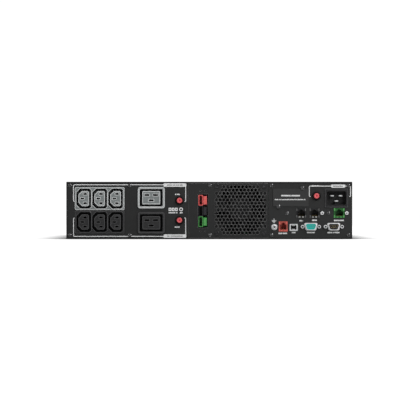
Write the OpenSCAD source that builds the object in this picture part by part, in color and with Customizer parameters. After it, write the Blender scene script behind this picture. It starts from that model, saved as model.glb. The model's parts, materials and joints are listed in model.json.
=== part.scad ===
// Rackmount UPS, two rack units tall, with a removable battery module at the front.
// +X is to the right when looking at the rear panel, +Y runs from the rear panel to
// the front bezel and +Z is up. The origin is the middle of the footprint.
// All sizes are in millimetres.

/* [Case] */
// Width of the case
case_w = 433; // [433:1:440]
// Height of the case
case_h = 86.5; // [86.5:0.1:88]
// Depth from the rearmost fitting to the front of the bezel
case_d = 610; // [600:1:680]
// Thickness of the folded steel sheet
sheet_t = 1.2; // [1:0.1:1.4]
// Depth of the moulded front bezel
bezel_d = 26; // [26:1:32]
// How far the tallest rear fitting stands out of the rear panel
rear_proud = 7; // [7:0.5:9]
// Seam between two neighbouring panels
seam = 0.3; // [0.2:0.1:0.5]

/* [Rear panel] */
// Seam between the outlet panel and the fan panel
outlet_seam_x = -31.6; // [-32:0.1:-31]
// Seam between the fan panel and the communications panel
comm_seam_x = 89.6; // [89.4:0.1:90]
// Distance of the outermost panel screws from the middle
edge_screw_x = 210.9; // [210.5:0.1:211.2]
// Places of the three inner columns of panel screws
inner_screw_xs = [-120.4, 1.2, 94.4]; // [-121:0.1:95]
// Heights of the lower and the upper row of panel screws
screw_zs = [5.8, 80.7]; // [5.5:0.1:81]
// Place of the left screw that holds the communications board
board_screw_left_at = [118.2, 38.9]; // [38:0.1:119]
// Place of the right screw that holds the communications board
board_screw_right_at = [180.9, 38.9]; // [38:0.1:182]

/* [Outlets] */
// Middle of the three small outlets
small_x = -165.9; // [-166.5:0.1:-165.5]
// Distance from one small outlet to the next
small_pitch = 24.1; // [24:0.1:24.6]
// Heights of the lower and the upper row of small outlets
small_zs = [25.6, 61.1]; // [25:0.1:62]
// Width and height of a small outlet's groove
small_groove = [22, 30.1]; // [21.5:0.1:30.5]
// Width and height of the block inside the groove
small_island = [16.2, 23.2]; // [16:0.1:24]
// Middle of the two large outlets
large_x = -87.8; // [-88.2:0.1:-87.2]
// Heights of the lower and the upper large outlet
large_zs = [24.4, 62.4]; // [24:0.1:63]
// Width and height of a large outlet's groove
large_groove = [34.8, 26.3]; // [26:0.1:35]
// Width and height of the block inside the groove
large_island = [27.3, 20.3]; // [20:0.1:28]
// Middle of the power inlet
inlet_at = [192.5, 61.9]; // [61.5:0.1:193]
// Width and height of the inlet's cavity
inlet_cavity = [28.8, 20.3]; // [20:0.1:29]

/* [Breakers] */
// Place of the upper outlet breaker
breaker_upper_at = [-45, 58.2]; // [-46:0.1:59]
// Place of the lower outlet breaker
breaker_lower_at = [-45, 28.3]; // [-46:0.1:29]
// Place of the input breaker
breaker_input_at = [162.3, 65.1]; // [64:0.1:163]
// Radius of a reset button
button_r = 4.05; // [3.8:0.05:4.1]
// How far a button pops out when its breaker trips
trip_travel = 3.5; // [2.5:0.1:4]

/* [Battery connector] */
// Middle of the battery connector
dc_at = [-9.7, 42.3]; // [-10:0.1:43]
// Distance from one housing to the next
dc_pitch = 16.2; // [16:0.1:16.4]

/* [Fan] */
// Middle of the fan
fan_at = [47.5, 44]; // [43.5:0.1:48]
// Side of the square fan frame
fan_size = 80; // [79:0.5:80]
// Distance between the fan's mounting holes
fan_holes_pitch = 71.5; // [71:0.1:72]
// Distance between neighbouring vent holes in a row and between rows
vent_pitch = [5.65, 5]; // [4.9:0.05:5.8]
// Width of a vent hole across its flats
vent_hole = 4.7; // [4.2:0.1:4.8]
// Number of blades on the rotor
blade_count = 7; // [5:1:9]

/* [Ports] */
// Place of the left network jack
network_left_at = [139.2, 39.2]; // [39:0.1:140]
// Place of the right network jack
network_right_at = [159.4, 39.2]; // [39:0.1:160]
// Place of the dry contact jack
contact_jack_at = [196.7, 39.3]; // [39:0.1:197]
// Place of the emergency power-off jack
epo_at = [111.9, 18.9]; // [18:0.1:113]
// Place of the USB port
usb_at = [127.8, 17.4]; // [17:0.1:128]
// Place of the left serial port
serial_left_at = [153.8, 18.5]; // [18:0.1:155]
// Place of the right serial port
serial_right_at = [188.5, 18.5]; // [18:0.1:189]
// Place of the ground screw
ground_at = [98.4, 17.9]; // [17:0.1:99]
// Left, bottom, right and top edge of the expansion slot cover
slot_box = [96.3, 49.1, 150.5, 76.1]; // [49:0.1:151]
// Place of the lower slot cover screw
slot_screw_low_at = [104.6, 49.1]; // [49:0.1:105]
// Place of the upper slot cover screw
slot_screw_high_at = [141.3, 76.9]; // [76:0.1:142]

/* [Battery module] */
// Length of a battery block
cell_l = 151; // [151:0.5:152]
// Depth of a battery block without its terminals
cell_w = 94; // [93:0.5:94]
// Height of a battery block as it lies
cell_h = 65; // [64:0.5:66]
// Room for the terminals beside each battery block
terminal_room = 6; // [6:0.5:6.5]

/* [Front] */
// Width and height of the display window
window = [78, 40]; // [38:1:80]
// Radius of the power button
power_r = 7; // [6:0.5:7]
// Radius of the two menu keys
key_r = 4.5; // [4:0.5:5]
// How far a key moves when it is pressed
key_travel = 1.5; // [1:0.1:1.5]

/* [Rack mounting] */
// Distance from the front to the middle of the ear holes
ear_back = 70; // [60:1:80]
// Distance between the ear holes along the case and up it
ear_spacing = [40, 46]; // [38:1:50]
// Radius of an ear hole
ear_hole_r = 2.1; // [2.1:0.05:2.2]

/* [Hidden] */
$fn = 48;

panel_y = -case_d / 2 + rear_proud;
front_y = case_d / 2;
bezel_y = front_y - bezel_d;
side_x = case_w / 2;
inner_x = side_x - sheet_t;
cover_z = case_h - sheet_t;
panel_z = [sheet_t + 0.2, case_h - 2.4];
fit = 0.3;

// Places on the rear panel that are used together
screw_xs = concat([-edge_screw_x], inner_screw_xs, [edge_screw_x]);
board_screws = [board_screw_left_at, board_screw_right_at];
breakers = [breaker_upper_at, breaker_lower_at, breaker_input_at];
network_at = [network_left_at, network_right_at];
serial_at = [serial_left_at, serial_right_at];
slot_screws_at = [slot_screw_low_at, slot_screw_high_at];

// Screws
m3_r = 1.5;
m3_clear_r = 1.7;
head_r = 2.9;
head_h = 1.8;
tab_w = 10;
tab_h = 9.5;
cover_screw_ys = [-240, -30, 180];
cover_screw_z = 79.2;

// Air slots in the side walls
side_slot = [3.2, 34];
side_slot_count = 12;
side_slot_pitch = 8;
side_slot_y = -210;

// Outlets
small_block = [75.3, 34.6];
small_body = [73.5, 32.3];
small_depth = 22;
small_groove_depth = 17;
// Middle and size of each slot, the earth slot first
small_slots = [
    [[-2.05, 0], [4.8, 1.8]], [[2.05, 7], [4.6, 2.2]], [[2.05, -7], [4.6, 2.2]]
];
large_block = [41.4, 32.9];
large_body = [38.5, 29.9];
large_depth = 26;
large_groove_depth = 20;
large_slots = [
    [[0, -4], [6.8, 2.2]], [[-6.5, 4], [6.8, 2.2]], [[6.5, 4], [6.8, 2.2]]
];
flange_t = 1.6;
rim_t = 0.7;
cutout_gap = 0.3;
inlet_flange = [35.5, 28.8];
inlet_body = [31.8, 23.3];
inlet_floor = 17.5;
inlet_depth = 21;
// Width and thickness of an inlet pin, and the width and length of its tip
pin_size = [6.2, 2];
pin_tip = [4.4, 2];
inlet_pin_places = [[0, -4.5], [-6.5, 3.5], [6.5, 3.5]];

// Breakers
bushing_r = 5.5;
nut_r = 6.5;
breaker_size = [16, 29];
breaker_depth = 30;
button_stem = trip_travel + 4.5;

// Battery connector
dc_depth = 28;
dc_mouth = 14;
dc_block = [13.4, 15.9];
dc_shroud_w = 6.9;
dc_wall = 1.1;
dc_tongue = [5.3, 12.7];
shroud_x = -dc_block[0] / 2 + dc_shroud_w / 2;
tongue_x = dc_block[0] / 2 - dc_tongue[0] / 2 - 0.7;
contact_x = shroud_x + 1.5;

// Fan
fan_depth = 25;
fan_bore_r = 38.3;
fan_hub_r = 17;
blade_r = 37.2;
blade_tilt = 38;
shaft_r = 1.5;
shaft_clear = 0.05;
vent_rows = 15;
// The four corners of the fan's mounting holes
fan_corners = [
    for (x = [-1, 1], z = [-1, 1])
        fan_at + [x, z] * fan_holes_pitch / 2
];

// Ports
jack_depth = 15;
rj_body = [15, 14.4];
contact_jack_body = [16.5, 14.7];
epo_body = [13.3, 15.5];
usb_body = [12.4, 10.4];
serial_pitch = 25;
serial_root = [19.8, 11.4];
serial_shell = [17, 10];
serial_face = [15.2, 8.4];
board_t = 1.6;

// Battery module
bay_wall_x = 92;
battery_sheet = 1;
battery_x = -inner_x + 1.8;
battery_w = 3 * (cell_w + terminal_room) + 1 + 2 * battery_sheet;
battery_y = [bezel_y - 1.5 - 2 * cell_l - 8 - 2 * battery_sheet, bezel_y - 1.5];
battery_floor_z = sheet_t + 0.4;
cell_z = battery_floor_z + battery_sheet;
lid_z = cell_z + cell_h + 0.2;
bulkhead_y = battery_y[0] - 10;
plug_x = -60;
plug_size = [50, 20];
plug_z = 40;

// Front
door_x = [-side_x, 93.5];
bezel_x = [door_x[1] + seam, side_x];
bezel_z = [0.5, case_h - 0.5];
bezel_wall = 2.5;
bezel_front = 3;
bezel_r = 3;
window_at = [(bezel_x[0] + bezel_x[1]) / 2, 55];
key_z = 18;
key_xs = [window_at[0] - 24, window_at[0], window_at[0] + 24];
key_gap = 0.3;
display_y = front_y - 16;

// Main board
main_board_x = [-202, 88];
main_board_y = [-250, bulkhead_y - 8];
board_z = 8;
deck_z = board_z + board_t;
board_posts = [
    for (x = [main_board_x[0] + 6, -70, main_board_x[1] - 6])
        for (y = [main_board_y[0] + 6, main_board_y[1] - 6]) [x, y]
];

// Heat sinks, one at each side of the fan's air duct
sink_y = [main_board_y[0] + 12, main_board_y[1] - 12];
sink_h = 55;
sink_base = 5;
sink_outer = 40;
fin_size = [22, 1.8];
fin_count = 7;
fin_pitch = 7.6;

// ---------- shared shapes ----------

// A box between two corners given as one range for each axis
module block(x, y, z) {
    translate([x[0], y[0], z[0]])
        cube([x[1] - x[0], y[1] - y[0], z[1] - z[0]]);
}

// A flat XZ outline made solid between two places along Y
module y_slab(y0, y1) {
    translate([0, y1, 0])
        rotate([90, 0, 0])
            linear_extrude(y1 - y0)
                children();
}

// A place on the rear panel, with local Z pointing out of it
module at_panel(place, out = 0) {
    translate([place[0], panel_y - out, place[1]])
        rotate([90, 0, 0])
            children();
}

// A flat outline made solid between two local heights
module prism(from, to) {
    translate([0, 0, from])
        linear_extrude(to - from)
            children();
}

// A rectangle with round corners
module round_rect(size, r) {
    square([size[0] - 2 * r, size[1]], center = true);
    square([size[0], size[1] - 2 * r], center = true);
    for (x = [-1, 1], y = [-1, 1])
        translate([x * (size[0] / 2 - r), y * (size[1] / 2 - r)])
            circle(r);
}

// A rectangle with straight cut corners, cut deeper at its left
module cut_rect(size, left, right) {
    w = size[0] / 2;
    h = size[1] / 2;
    polygon([
        [left - w, -h], [w - right, -h], [w, right - h], [w, h - right],
        [w - right, h], [left - w, h], [-w, h - left], [-w, left - h]
    ]);
}

// The D outline of a serial port, wide side up
module d_outline(size) {
    w = size[0] / 2;
    h = size[1] / 2;
    lean = 1.6;
    c = 1.6;
    polygon([
        [lean + c - w, -h], [w - lean - c, -h], [w - lean, c - h], [w, h - c],
        [w - c, h], [c - w, h], [-w, h - c], [lean - w, c - h]
    ]);
}

// A screw with a low domed head and a cross recess, its head standing on local Z = 0
module pan_screw(r = head_r, h = head_h, length = 5) {
    dome_r = 2 * r;
    difference() {
        union() {
            translate([0, 0, -length])
                cylinder(h = length, r = m3_r);
            intersection() {
                cylinder(h = h, r = r);
                translate([0, 0, h - dome_r])
                    sphere(dome_r, $fn = 96);
            }
        }
        for (turn = [45, 135])
            rotate([0, 0, turn])
                translate([-r * 0.6, -0.35, h - 0.9])
                    cube([r * 1.2, 0.7, 1.5]);
    }
}

// Round holes through a rear panel
module panel_holes(places, r) {
    for (place = places)
        translate(place)
            circle(r);
}

// Every panel screw whose place lies between two X values
function screws_between(x0, x1) =
    [for (x = screw_xs, z = screw_zs) if (x > x0 && x < x1) [x, z]];

// ---------- case ----------

// Folded tabs that the panel screws of one row bite into
module screw_tabs(z0, z1, gap) {
    for (x = screw_xs) {
        x0 = max(x - tab_w / 2, -inner_x + gap);
        x1 = min(x + tab_w / 2, inner_x - gap);
        block([x0, x1], [panel_y + sheet_t, panel_y + 2 * sheet_t], [z0, z1]);
    }
}

// Countersunk holes and slots that pierce both side walls
module side_openings() {
    for (side = [-1, 1]) {
        for (y = [-1, 1], z = [-1, 1])
            translate([
                side * side_x, front_y - ear_back + y * ear_spacing[0] / 2,
                case_h / 2 + z * ear_spacing[1] / 2
            ])
                rotate([0, 90, 0])
                    cylinder(h = 4 * sheet_t, r = ear_hole_r, center = true);
        for (y = cover_screw_ys)
            translate([side * side_x, y, cover_screw_z])
                rotate([0, -side * 90, 0]) {
                    translate([0, 0, -0.01])
                        cylinder(h = 1.5, r1 = 3.1, r2 = 1.7);
                    cylinder(h = 3 * sheet_t, r = m3_clear_r);
                }
        for (i = [0:side_slot_count - 1])
            translate([side * side_x, side_slot_y + side_slot_pitch * i, case_h / 2])
                cube([4 * sheet_t, side_slot[0], side_slot[1]], center = true);
    }
}

// Bottom and both sides folded from one sheet, with tabs and board posts
module chassis_tray() {
    color("#2c2d2e")
        difference() {
            union() {
                block([-side_x, side_x], [panel_y, bezel_y - 0.2], [0, sheet_t]);
                for (side = [-1, 1])
                    translate([side * (side_x - sheet_t / 2), 0, 0])
                        block([-sheet_t / 2, sheet_t / 2], [panel_y, bezel_y - 0.2], [0, cover_z]);
                screw_tabs(0, sheet_t + tab_h, 0);
                for (post = board_posts)
                    translate([post[0], post[1], 0])
                        cylinder(h = board_z, r = 3);
            }
            for (x = screw_xs)
                at_panel([x, screw_zs[0]])
                    cylinder(h = 10, r = m3_clear_r, center = true);
            side_openings();
        }
}

// Flat lid with a short lip at the rear, a lip along each side and screw tabs
module top_cover() {
    lip_x = inner_x - fit;
    color("#2c2d2e")
        difference() {
            union() {
                block([-side_x, side_x], [panel_y, bezel_y - 0.2], [cover_z, case_h]);
                block([-inner_x + fit, inner_x - fit], [panel_y, panel_y + sheet_t],
                      [panel_z[1] + 0.2, case_h]);
                screw_tabs(cover_z - tab_h, case_h, fit);
                for (side = [-1, 1])
                    translate([side * (lip_x - sheet_t / 2), 0, 0])
                        block([-sheet_t / 2, sheet_t / 2], [panel_y + 6, bezel_y - 4],
                              [cover_z - 12, case_h]);
            }
            for (x = screw_xs)
                at_panel([x, screw_zs[1]])
                    cylinder(h = 10, r = m3_clear_r, center = true);
            for (side = [-1, 1], y = cover_screw_ys)
                translate([side * side_x, y, cover_screw_z])
                    rotate([0, -side * 90, 0])
                        cylinder(h = 5, r = m3_clear_r);
        }
}

// A rear panel between two X values; the children are its openings
module rear_panel(x0, x1) {
    y_slab(panel_y, panel_y + sheet_t)
        difference() {
            translate([x0, panel_z[0]])
                square([x1 - x0, panel_z[1] - panel_z[0]]);
            panel_holes(screws_between(x0, x1), m3_clear_r);
            children();
        }
}

// Left panel, cut for the outlets and two breakers
module outlet_panel() {
    gap = [2 * cutout_gap, 2 * cutout_gap];
    color("#303132")
        rear_panel(-inner_x + 0.2, outlet_seam_x) {
            for (z = small_zs)
                translate([small_x, z])
                    square(small_body + gap, center = true);
            for (z = large_zs)
                translate([large_x, z])
                    square(large_body + gap, center = true);
            panel_holes([breaker_upper_at, breaker_lower_at], bushing_r + 0.2);
        }
}

// Number of vent holes in one row of the fan grille
function vents_in(row) =
    let (edge = min(row, vent_rows + 1 - row))
    edge == 1 ? 10 : edge == 2 ? 11 : edge % 2 == 1 ? 14 : 13;

// Honeycomb of vent holes in front of the fan
module vent_field() {
    for (row = [1:vent_rows])
        for (i = [0:vents_in(row) - 1])
            translate([
                fan_at[0] + (i - (vents_in(row) - 1) / 2) * vent_pitch[0],
                fan_at[1] + (row - (vent_rows + 1) / 2) * vent_pitch[1]
            ])
                rotate(30)
                    circle(r = vent_hole / 2 / cos(30), $fn = 6);
}

// Middle panel, with the fan grille and the battery connector opening
module fan_panel() {
    color("#303132")
        rear_panel(outlet_seam_x + seam, comm_seam_x) {
            vent_field();
            panel_holes(fan_corners, 2.3);
            translate(dc_at)
                square([dc_block[0] + 1.8, 3 * dc_pitch + 2], center = true);
            for (x = [-3.7, 3.7], z = [-30.5, 30.5])
                translate(dc_at + [x, z])
                    circle(1.1);
        }
}

// Right panel, cut for the input, the expansion slot and the ports
module comm_panel() {
    gap = [0.4, 0.4];
    color("#303132")
        rear_panel(comm_seam_x + seam, inner_x - 0.2) {
            translate(inlet_at)
                square(inlet_body + 1.5 * gap, center = true);
            panel_holes([breaker_input_at], bushing_r + 0.2);
            panel_holes(board_screws, m3_clear_r);
            panel_holes(slot_screws_at, m3_clear_r);
            panel_holes([ground_at], 2.2);
            translate([slot_box[0] + 4, slot_box[1] + 4])
                square([slot_box[2] - slot_box[0] - 8, slot_box[3] - slot_box[1] - 8]);
            for (place = network_at)
                translate(place)
                    square(rj_body + gap, center = true);
            translate(contact_jack_at)
                square(contact_jack_body + gap, center = true);
            translate(epo_at)
                square(epo_body + gap, center = true);
            translate(usb_at)
                square(usb_body + gap, center = true);
            for (place = serial_at) {
                translate(place)
                    d_outline(serial_root + gap);
                for (x = [-1, 1])
                    translate(place + [x * serial_pitch / 2, 0])
                        circle(m3_clear_r);
            }
        }
}

// Upright wall beside the battery bay with the bulkhead behind it
module bay_wall() {
    z = [sheet_t + 0.1, cover_z - 0.2];
    bulkhead = [bulkhead_y, bulkhead_y + sheet_t];
    slot_count = 10;
    slot_pitch = 12;
    slot_x = -190;
    color("#9a9ea1")
        difference() {
            union() {
                block([bay_wall_x, bay_wall_x + sheet_t], [bulkhead_y, bezel_y - 4], z);
                block([-inner_x + 2, bay_wall_x + sheet_t], bulkhead, z);
                block([bay_wall_x, bay_wall_x + 9], [bulkhead_y, bezel_y - 4], [z[0], z[0] + sheet_t]);
            }
            for (i = [0:slot_count - 1])
                translate([slot_x + slot_pitch * i, bulkhead_y, case_h / 2])
                    cube([slot_pitch / 2, 10, 40], center = true);
            translate([plug_x, bulkhead_y, plug_z])
                cube([30, 10, 10], center = true);
        }
}

module panel_screws() {
    places = concat(screws_between(-side_x, side_x), board_screws);
    color("#18191a")
        for (place = places)
            at_panel(place)
                pan_screw();
}

module cover_screws() {
    color("#18191a")
        for (side = [-1, 1], y = cover_screw_ys)
            translate([side * side_x, y, cover_screw_z])
                rotate([0, -side * 90, 0])
                    difference() {
                        union() {
                            cylinder(h = 1.3, r1 = 2.8, r2 = 1.5);
                            cylinder(h = 5, r = m3_r);
                        }
                        for (turn = [0, 90])
                            rotate([0, 0, turn])
                                translate([-1.6, -0.35, -0.1])
                                    cube([3.2, 0.7, 0.9]);
                    }
}

// ---------- outlets and input ----------

// The slots of one outlet, each made bigger by grow on every side
module slots(list, grow = 0) {
    for (slot = list)
        translate(slot[0])
            square(slot[1] + [2 * grow, 2 * grow], center = true);
}

// The outline of a small outlet, its left corners cut to the given share of its width
module small_outline(size, cut = 0.27) {
    cut_rect(size, size[0] * cut, size[0] * 0.11);
}

// Three small outlets in one moulded block
module c13_block(z) {
    offsets = [-small_pitch, 0, small_pitch];
    face = flange_t + rim_t;
    at_panel([small_x, z])
        difference() {
            union() {
                prism(0, flange_t)
                    round_rect(small_block, 2);
                prism(-small_depth, 0.5)
                    square(small_body, center = true);
                for (x = offsets)
                    translate([x, 0, 0])
                        prism(0, face)
                            small_outline(small_groove + [2.2, 2.2]);
            }
            for (x = offsets)
                translate([x, 0, 0]) {
                    prism(-small_groove_depth, face + 1)
                        difference() {
                            small_outline(small_groove);
                            small_outline(small_island, 0.34);
                        }
                    prism(-small_depth - 1, face + 1)
                        slots(small_slots);
                }
        }
}

module c13_block_grey() {
    color("#b4b9b9")
        c13_block(small_zs[1]);
}

module c13_block_black() {
    color("#242526")
        c13_block(small_zs[0]);
}

// One large outlet with a round-cornered flange
module c19_outlet(z) {
    face = flange_t + rim_t;
    at_panel([large_x, z])
        difference() {
            union() {
                prism(0, flange_t)
                    round_rect(large_block, 4);
                prism(0, face)
                    difference() {
                        round_rect(large_block - [0.8, 0.8], 3.6);
                        round_rect(large_block - [4, 4], 2.5);
                    }
                prism(-large_depth, 0.5)
                    round_rect(large_body, 2);
                prism(0, face)
                    round_rect(large_island, 1.5);
            }
            prism(-large_groove_depth, face + 1)
                difference() {
                    round_rect(large_groove, 2);
                    round_rect(large_island, 1.5);
                }
            prism(-large_depth - 1, face + 1)
                slots(large_slots);
        }
}

module c19_outlet_grey() {
    color("#b4b9b9")
        c19_outlet(large_zs[1]);
}

module c19_outlet_black() {
    color("#242526")
        c19_outlet(large_zs[0]);
}

// Brass blades set back inside every outlet slot
module outlet_contacts() {
    set_back = 12;
    tail = 6;
    color("#b89b5a") {
        for (z = small_zs, x = [-small_pitch, 0, small_pitch])
            at_panel([small_x + x, z])
                prism(-small_depth - tail, -set_back)
                    slots(small_slots, -0.5);
        for (z = large_zs)
            at_panel([large_x, z])
                prism(-large_depth - tail, -set_back)
                    slots(large_slots, -0.5);
    }
}

// Power inlet: a flanged shroud around three pins
module inlet_socket() {
    color("#1c1d1e")
        at_panel(inlet_at)
            difference() {
                union() {
                    prism(0, flange_t)
                        round_rect(inlet_flange, 1.5);
                    prism(0, flange_t + 0.9)
                        round_rect(inlet_body, 1.5);
                    prism(-inlet_depth, 0.5)
                        square(inlet_body, center = true);
                }
                prism(-inlet_floor, 5)
                    cut_rect(inlet_cavity, 1.2, 1.2);
                for (place = inlet_pin_places)
                    translate(place)
                        prism(-inlet_depth - 1, 0)
                            square(pin_size + [0.1, 0.1], center = true);
            }
}

// Flat pins, their tips narrowed to guide the plug
module inlet_pins() {
    back = -inlet_depth - 6;
    front = -3;
    half = pin_size[0] / 2;
    tip = pin_tip[0] / 2;
    color("#c9ccce")
        at_panel(inlet_at)
            for (place = inlet_pin_places)
                translate(place)
                    rotate([90, 0, 0])
                        linear_extrude(pin_size[1], center = true)
                            polygon([
                                [-half, back], [half, back], [half, front - pin_tip[1]],
                                [tip, front], [-tip, front], [-half, front - pin_tip[1]]
                            ]);
}

// ---------- breakers ----------

// Body and threaded bushing of each breaker, bored for its button
module breaker_bodies() {
    color("#222324")
        for (place = breakers)
            at_panel(place)
                difference() {
                    union() {
                        prism(-breaker_depth, -sheet_t)
                            square(breaker_size, center = true);
                        translate([0, 0, -sheet_t - 1])
                            cylinder(h = sheet_t + 4, r = bushing_r);
                    }
                    translate([0, 0, -button_stem - 4])
                        cylinder(h = button_stem + 12, r = button_r + 0.08);
                }
}

module breaker_nuts() {
    color("#1b1c1d")
        for (place = breakers)
            at_panel(place)
                difference() {
                    union() {
                        cylinder(h = 1.8, r = nut_r);
                        translate([0, 0, 1.8])
                            cylinder(h = 0.7, r1 = nut_r, r2 = nut_r - 0.7);
                    }
                    translate([0, 0, -1])
                        cylinder(h = 5, r = bushing_r + 0.05);
                }
}

// A red push button with a dimple in its end
module reset_button(place) {
    color("#c4404c")
        at_panel(place)
            difference() {
                union() {
                    translate([0, 0, -button_stem])
                        cylinder(h = button_stem + rear_proud - 0.6, r = button_r);
                    translate([0, 0, rear_proud - 0.6])
                        cylinder(h = 0.6, r1 = button_r, r2 = button_r - 0.6);
                }
                translate([0, 0, rear_proud + 2.2])
                    sphere(3);
            }
}

module reset_button_upper() {
    reset_button(breaker_upper_at);
}

module reset_button_lower() {
    reset_button(breaker_lower_at);
}

module reset_button_input() {
    reset_button(breaker_input_at);
}

// ---------- battery connector ----------

// One genderless power housing: a shroud at the left and a tongue at the right
module dc_housing(step) {
    at_panel(dc_at + [0, step * dc_pitch]) {
        prism(-dc_depth, -dc_mouth)
            square(dc_block, center = true);
        translate([shroud_x, 0, 0])
            prism(-dc_mouth - 0.5, 0.8)
                difference() {
                    square([dc_shroud_w, dc_block[1]], center = true);
                    square([dc_shroud_w, dc_block[1]] - 2 * [dc_wall, dc_wall], center = true);
                }
        translate([tongue_x, 0, 0])
            difference() {
                prism(-dc_mouth - 0.5, 0.8)
                    square(dc_tongue, center = true);
                for (z = [-2.4, 2.4])
                    translate([0, z, 0.4])
                        cube([3.6, 1, 2], center = true);
            }
    }
}

module dc_housing_red() {
    color("#cf3b3b")
        dc_housing(1);
}

module dc_housing_black() {
    color("#232425")
        dc_housing(0);
}

module dc_housing_green() {
    color("#2f8f3f")
        dc_housing(-1);
}

// Silvered contact blades in the shrouds and crimped barrels behind
module dc_contacts() {
    color("#c9ccce")
        for (step = [-1, 0, 1])
            at_panel(dc_at + [0, step * dc_pitch]) {
                translate([contact_x, 0, 0])
                    prism(-dc_mouth, -9)
                        square([1.2, 8], center = true);
                translate([0, 0, -dc_depth - 9])
                    cylinder(h = 9, r = 3.4);
            }
}

// ---------- fan ----------

// Places the children at the fan's inner end, with local Z pointing out of the rear
module at_fan() {
    at_panel(fan_at, -sheet_t - fan_depth)
        children();
}

// Square frame with a round duct, four struts and the motor cup at its inner end
module fan_frame() {
    strut = [fan_bore_r + 1, 3.4, 3];
    color("#1f2021")
        at_fan()
            difference() {
                union() {
                    difference() {
                        prism(0, fan_depth)
                            round_rect([fan_size, fan_size], 3);
                        translate([0, 0, -1])
                            cylinder(h = fan_depth + 2, r = fan_bore_r, $fn = 96);
                    }
                    cylinder(h = 3, r = fan_hub_r - 1);
                    cylinder(h = 12, r = 4);
                    for (turn = [0:90:270])
                        rotate([0, 0, turn + 45])
                            translate([0, -strut[1] / 2, 0])
                                cube(strut);
                }
                for (x = [-1, 1], z = [-1, 1])
                    translate([x * fan_holes_pitch / 2, z * fan_holes_pitch / 2, -1])
                        cylinder(h = fan_depth + 2, r = 2.2);
                translate([0, 0, -1])
                    cylinder(h = 14, r = shaft_r + shaft_clear);
            }
}

// Hub cup with its shaft and the swept blades
module fan_rotor() {
    hub_z = [3.6, fan_depth - 1.5];
    blade_h = hub_z[1] - hub_z[0] - 3;
    color("#191a1b")
        at_fan() {
            difference() {
                translate([0, 0, hub_z[0]])
                    cylinder(h = hub_z[1] - hub_z[0], r = fan_hub_r);
                translate([0, 0, hub_z[0] - 1])
                    cylinder(h = hub_z[1] - hub_z[0] - 1, r = fan_hub_r - 1.8);
            }
            translate([0, 0, 1])
                cylinder(h = hub_z[1] - 2, r = shaft_r);
            for (i = [0:blade_count - 1])
                rotate([0, 0, i * 360 / blade_count])
                    intersection() {
                        translate([0, 0, hub_z[0] + 1])
                            difference() {
                                cylinder(h = blade_h, r = blade_r);
                                cylinder(h = 3 * blade_h, r = fan_hub_r - 0.6, center = true);
                            }
                        translate([fan_hub_r + 10, 0, hub_z[0] + 1 + blade_h / 2])
                            rotate([blade_tilt, 0, 0])
                                cube([26, 30, 1.4], center = true);
                    }
        }
}

module fan_screws() {
    color("#161718")
        for (place = fan_corners)
            at_panel(place)
                difference() {
                    union() {
                        cylinder(h = 1.2, r = 3.6);
                        translate([0, 0, -14])
                            cylinder(h = 14, r = 2.1);
                    }
                    for (turn = [45, 135])
                        rotate([0, 0, turn])
                            translate([-2, -0.4, 0.5])
                                cube([4, 0.8, 1]);
                }
}

// ---------- ports ----------

// Jack body with a plug cavity that has a latch step at its top
module jack(body, cavity, latch) {
    difference() {
        prism(-jack_depth, 0.6)
            square(body, center = true);
        prism(-jack_depth + 2, 2)
            union() {
                translate([0, -1])
                    square(cavity, center = true);
                translate([0, cavity[1] / 2 - 1 + latch[1] / 2 - 0.05])
                    square(latch + [0, 0.1], center = true);
                translate([0, cavity[1] / 2 - 1 + latch[1] + 0.5])
                    square([latch[0] / 2, 1.2], center = true);
            }
    }
}

module network_jacks() {
    color("#1e1f20")
        for (place = network_at)
            at_panel(place)
                jack(rj_body, [11.7, 7], [6.2, 1.7]);
}

module contact_jack() {
    color("#2c8a3a")
        at_panel(contact_jack_at)
            jack(contact_jack_body, [11.7, 7.2], [6.2, 1.7]);
}

module epo_jack() {
    color("#a8413c")
        at_panel(epo_at)
            jack(epo_body, [9.6, 7.4], [5.4, 2]);
}

// Square USB port with cut upper corners around its tongue
module usb_port() {
    shell = usb_body;
    cavity = [8.5, 7.8];
    color("#c9ccce")
        at_panel(usb_at)
            difference() {
                prism(-jack_depth, 0.8)
                    round_rect(shell, 1);
                prism(-9, 3)
                    difference() {
                        cut_rect(cavity, 1.2, 1.2);
                        square([5.6, 3.2], center = true);
                    }
            }
}

// D-shaped metal shells on wider roots, with the flanges that sit behind the panel
module serial_shells() {
    color("#c4c7c9")
        for (place = serial_at)
            at_panel(place)
                difference() {
                    union() {
                        prism(-sheet_t - 0.6, 1.4)
                            d_outline(serial_root);
                        prism(1, 5.4)
                            d_outline(serial_shell);
                        prism(-sheet_t - 0.8, -sheet_t)
                            round_rect([31, 12.4], 2);
                    }
                    prism(-5, 8)
                        d_outline(serial_face + [0.1, 0.1]);
                    for (x = [-1, 1])
                        translate([x * serial_pitch / 2, 0, -5])
                            cylinder(h = 8, r = m3_clear_r);
                }
}

// Moulded insert with nine sockets in two rows
module serial_insert(place) {
    at_panel(place)
        difference() {
            prism(-jack_depth, 4.6)
                d_outline(serial_face);
            for (i = [0:4])
                translate([(i - 2) * 2.75, 1.4, 0])
                    cylinder(h = 6, r = 0.6);
            for (i = [0:3])
                translate([(i - 1.5) * 2.75, -1.4, 0])
                    cylinder(h = 6, r = 0.6);
        }
}

module serial_insert_cyan() {
    color("#22b5ab")
        serial_insert(serial_left_at);
}

module serial_insert_black() {
    color("#3a3b3d")
        serial_insert(serial_right_at);
}

// Hexagonal posts on washers beside the serial ports, with threaded ends
module jackscrews() {
    color("#d0d3d5")
        for (place = serial_at, x = [-1, 1])
            at_panel(place + [x * serial_pitch / 2, 0])
                difference() {
                    union() {
                        cylinder(h = 0.6, r = 2.75);
                        cylinder(h = 5, r = 2.6, $fn = 6);
                        translate([0, 0, -6])
                            cylinder(h = 7, r = m3_r);
                    }
                    translate([0, 0, 1.5])
                        cylinder(h = 5, r = 1.4);
                }
}

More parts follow.
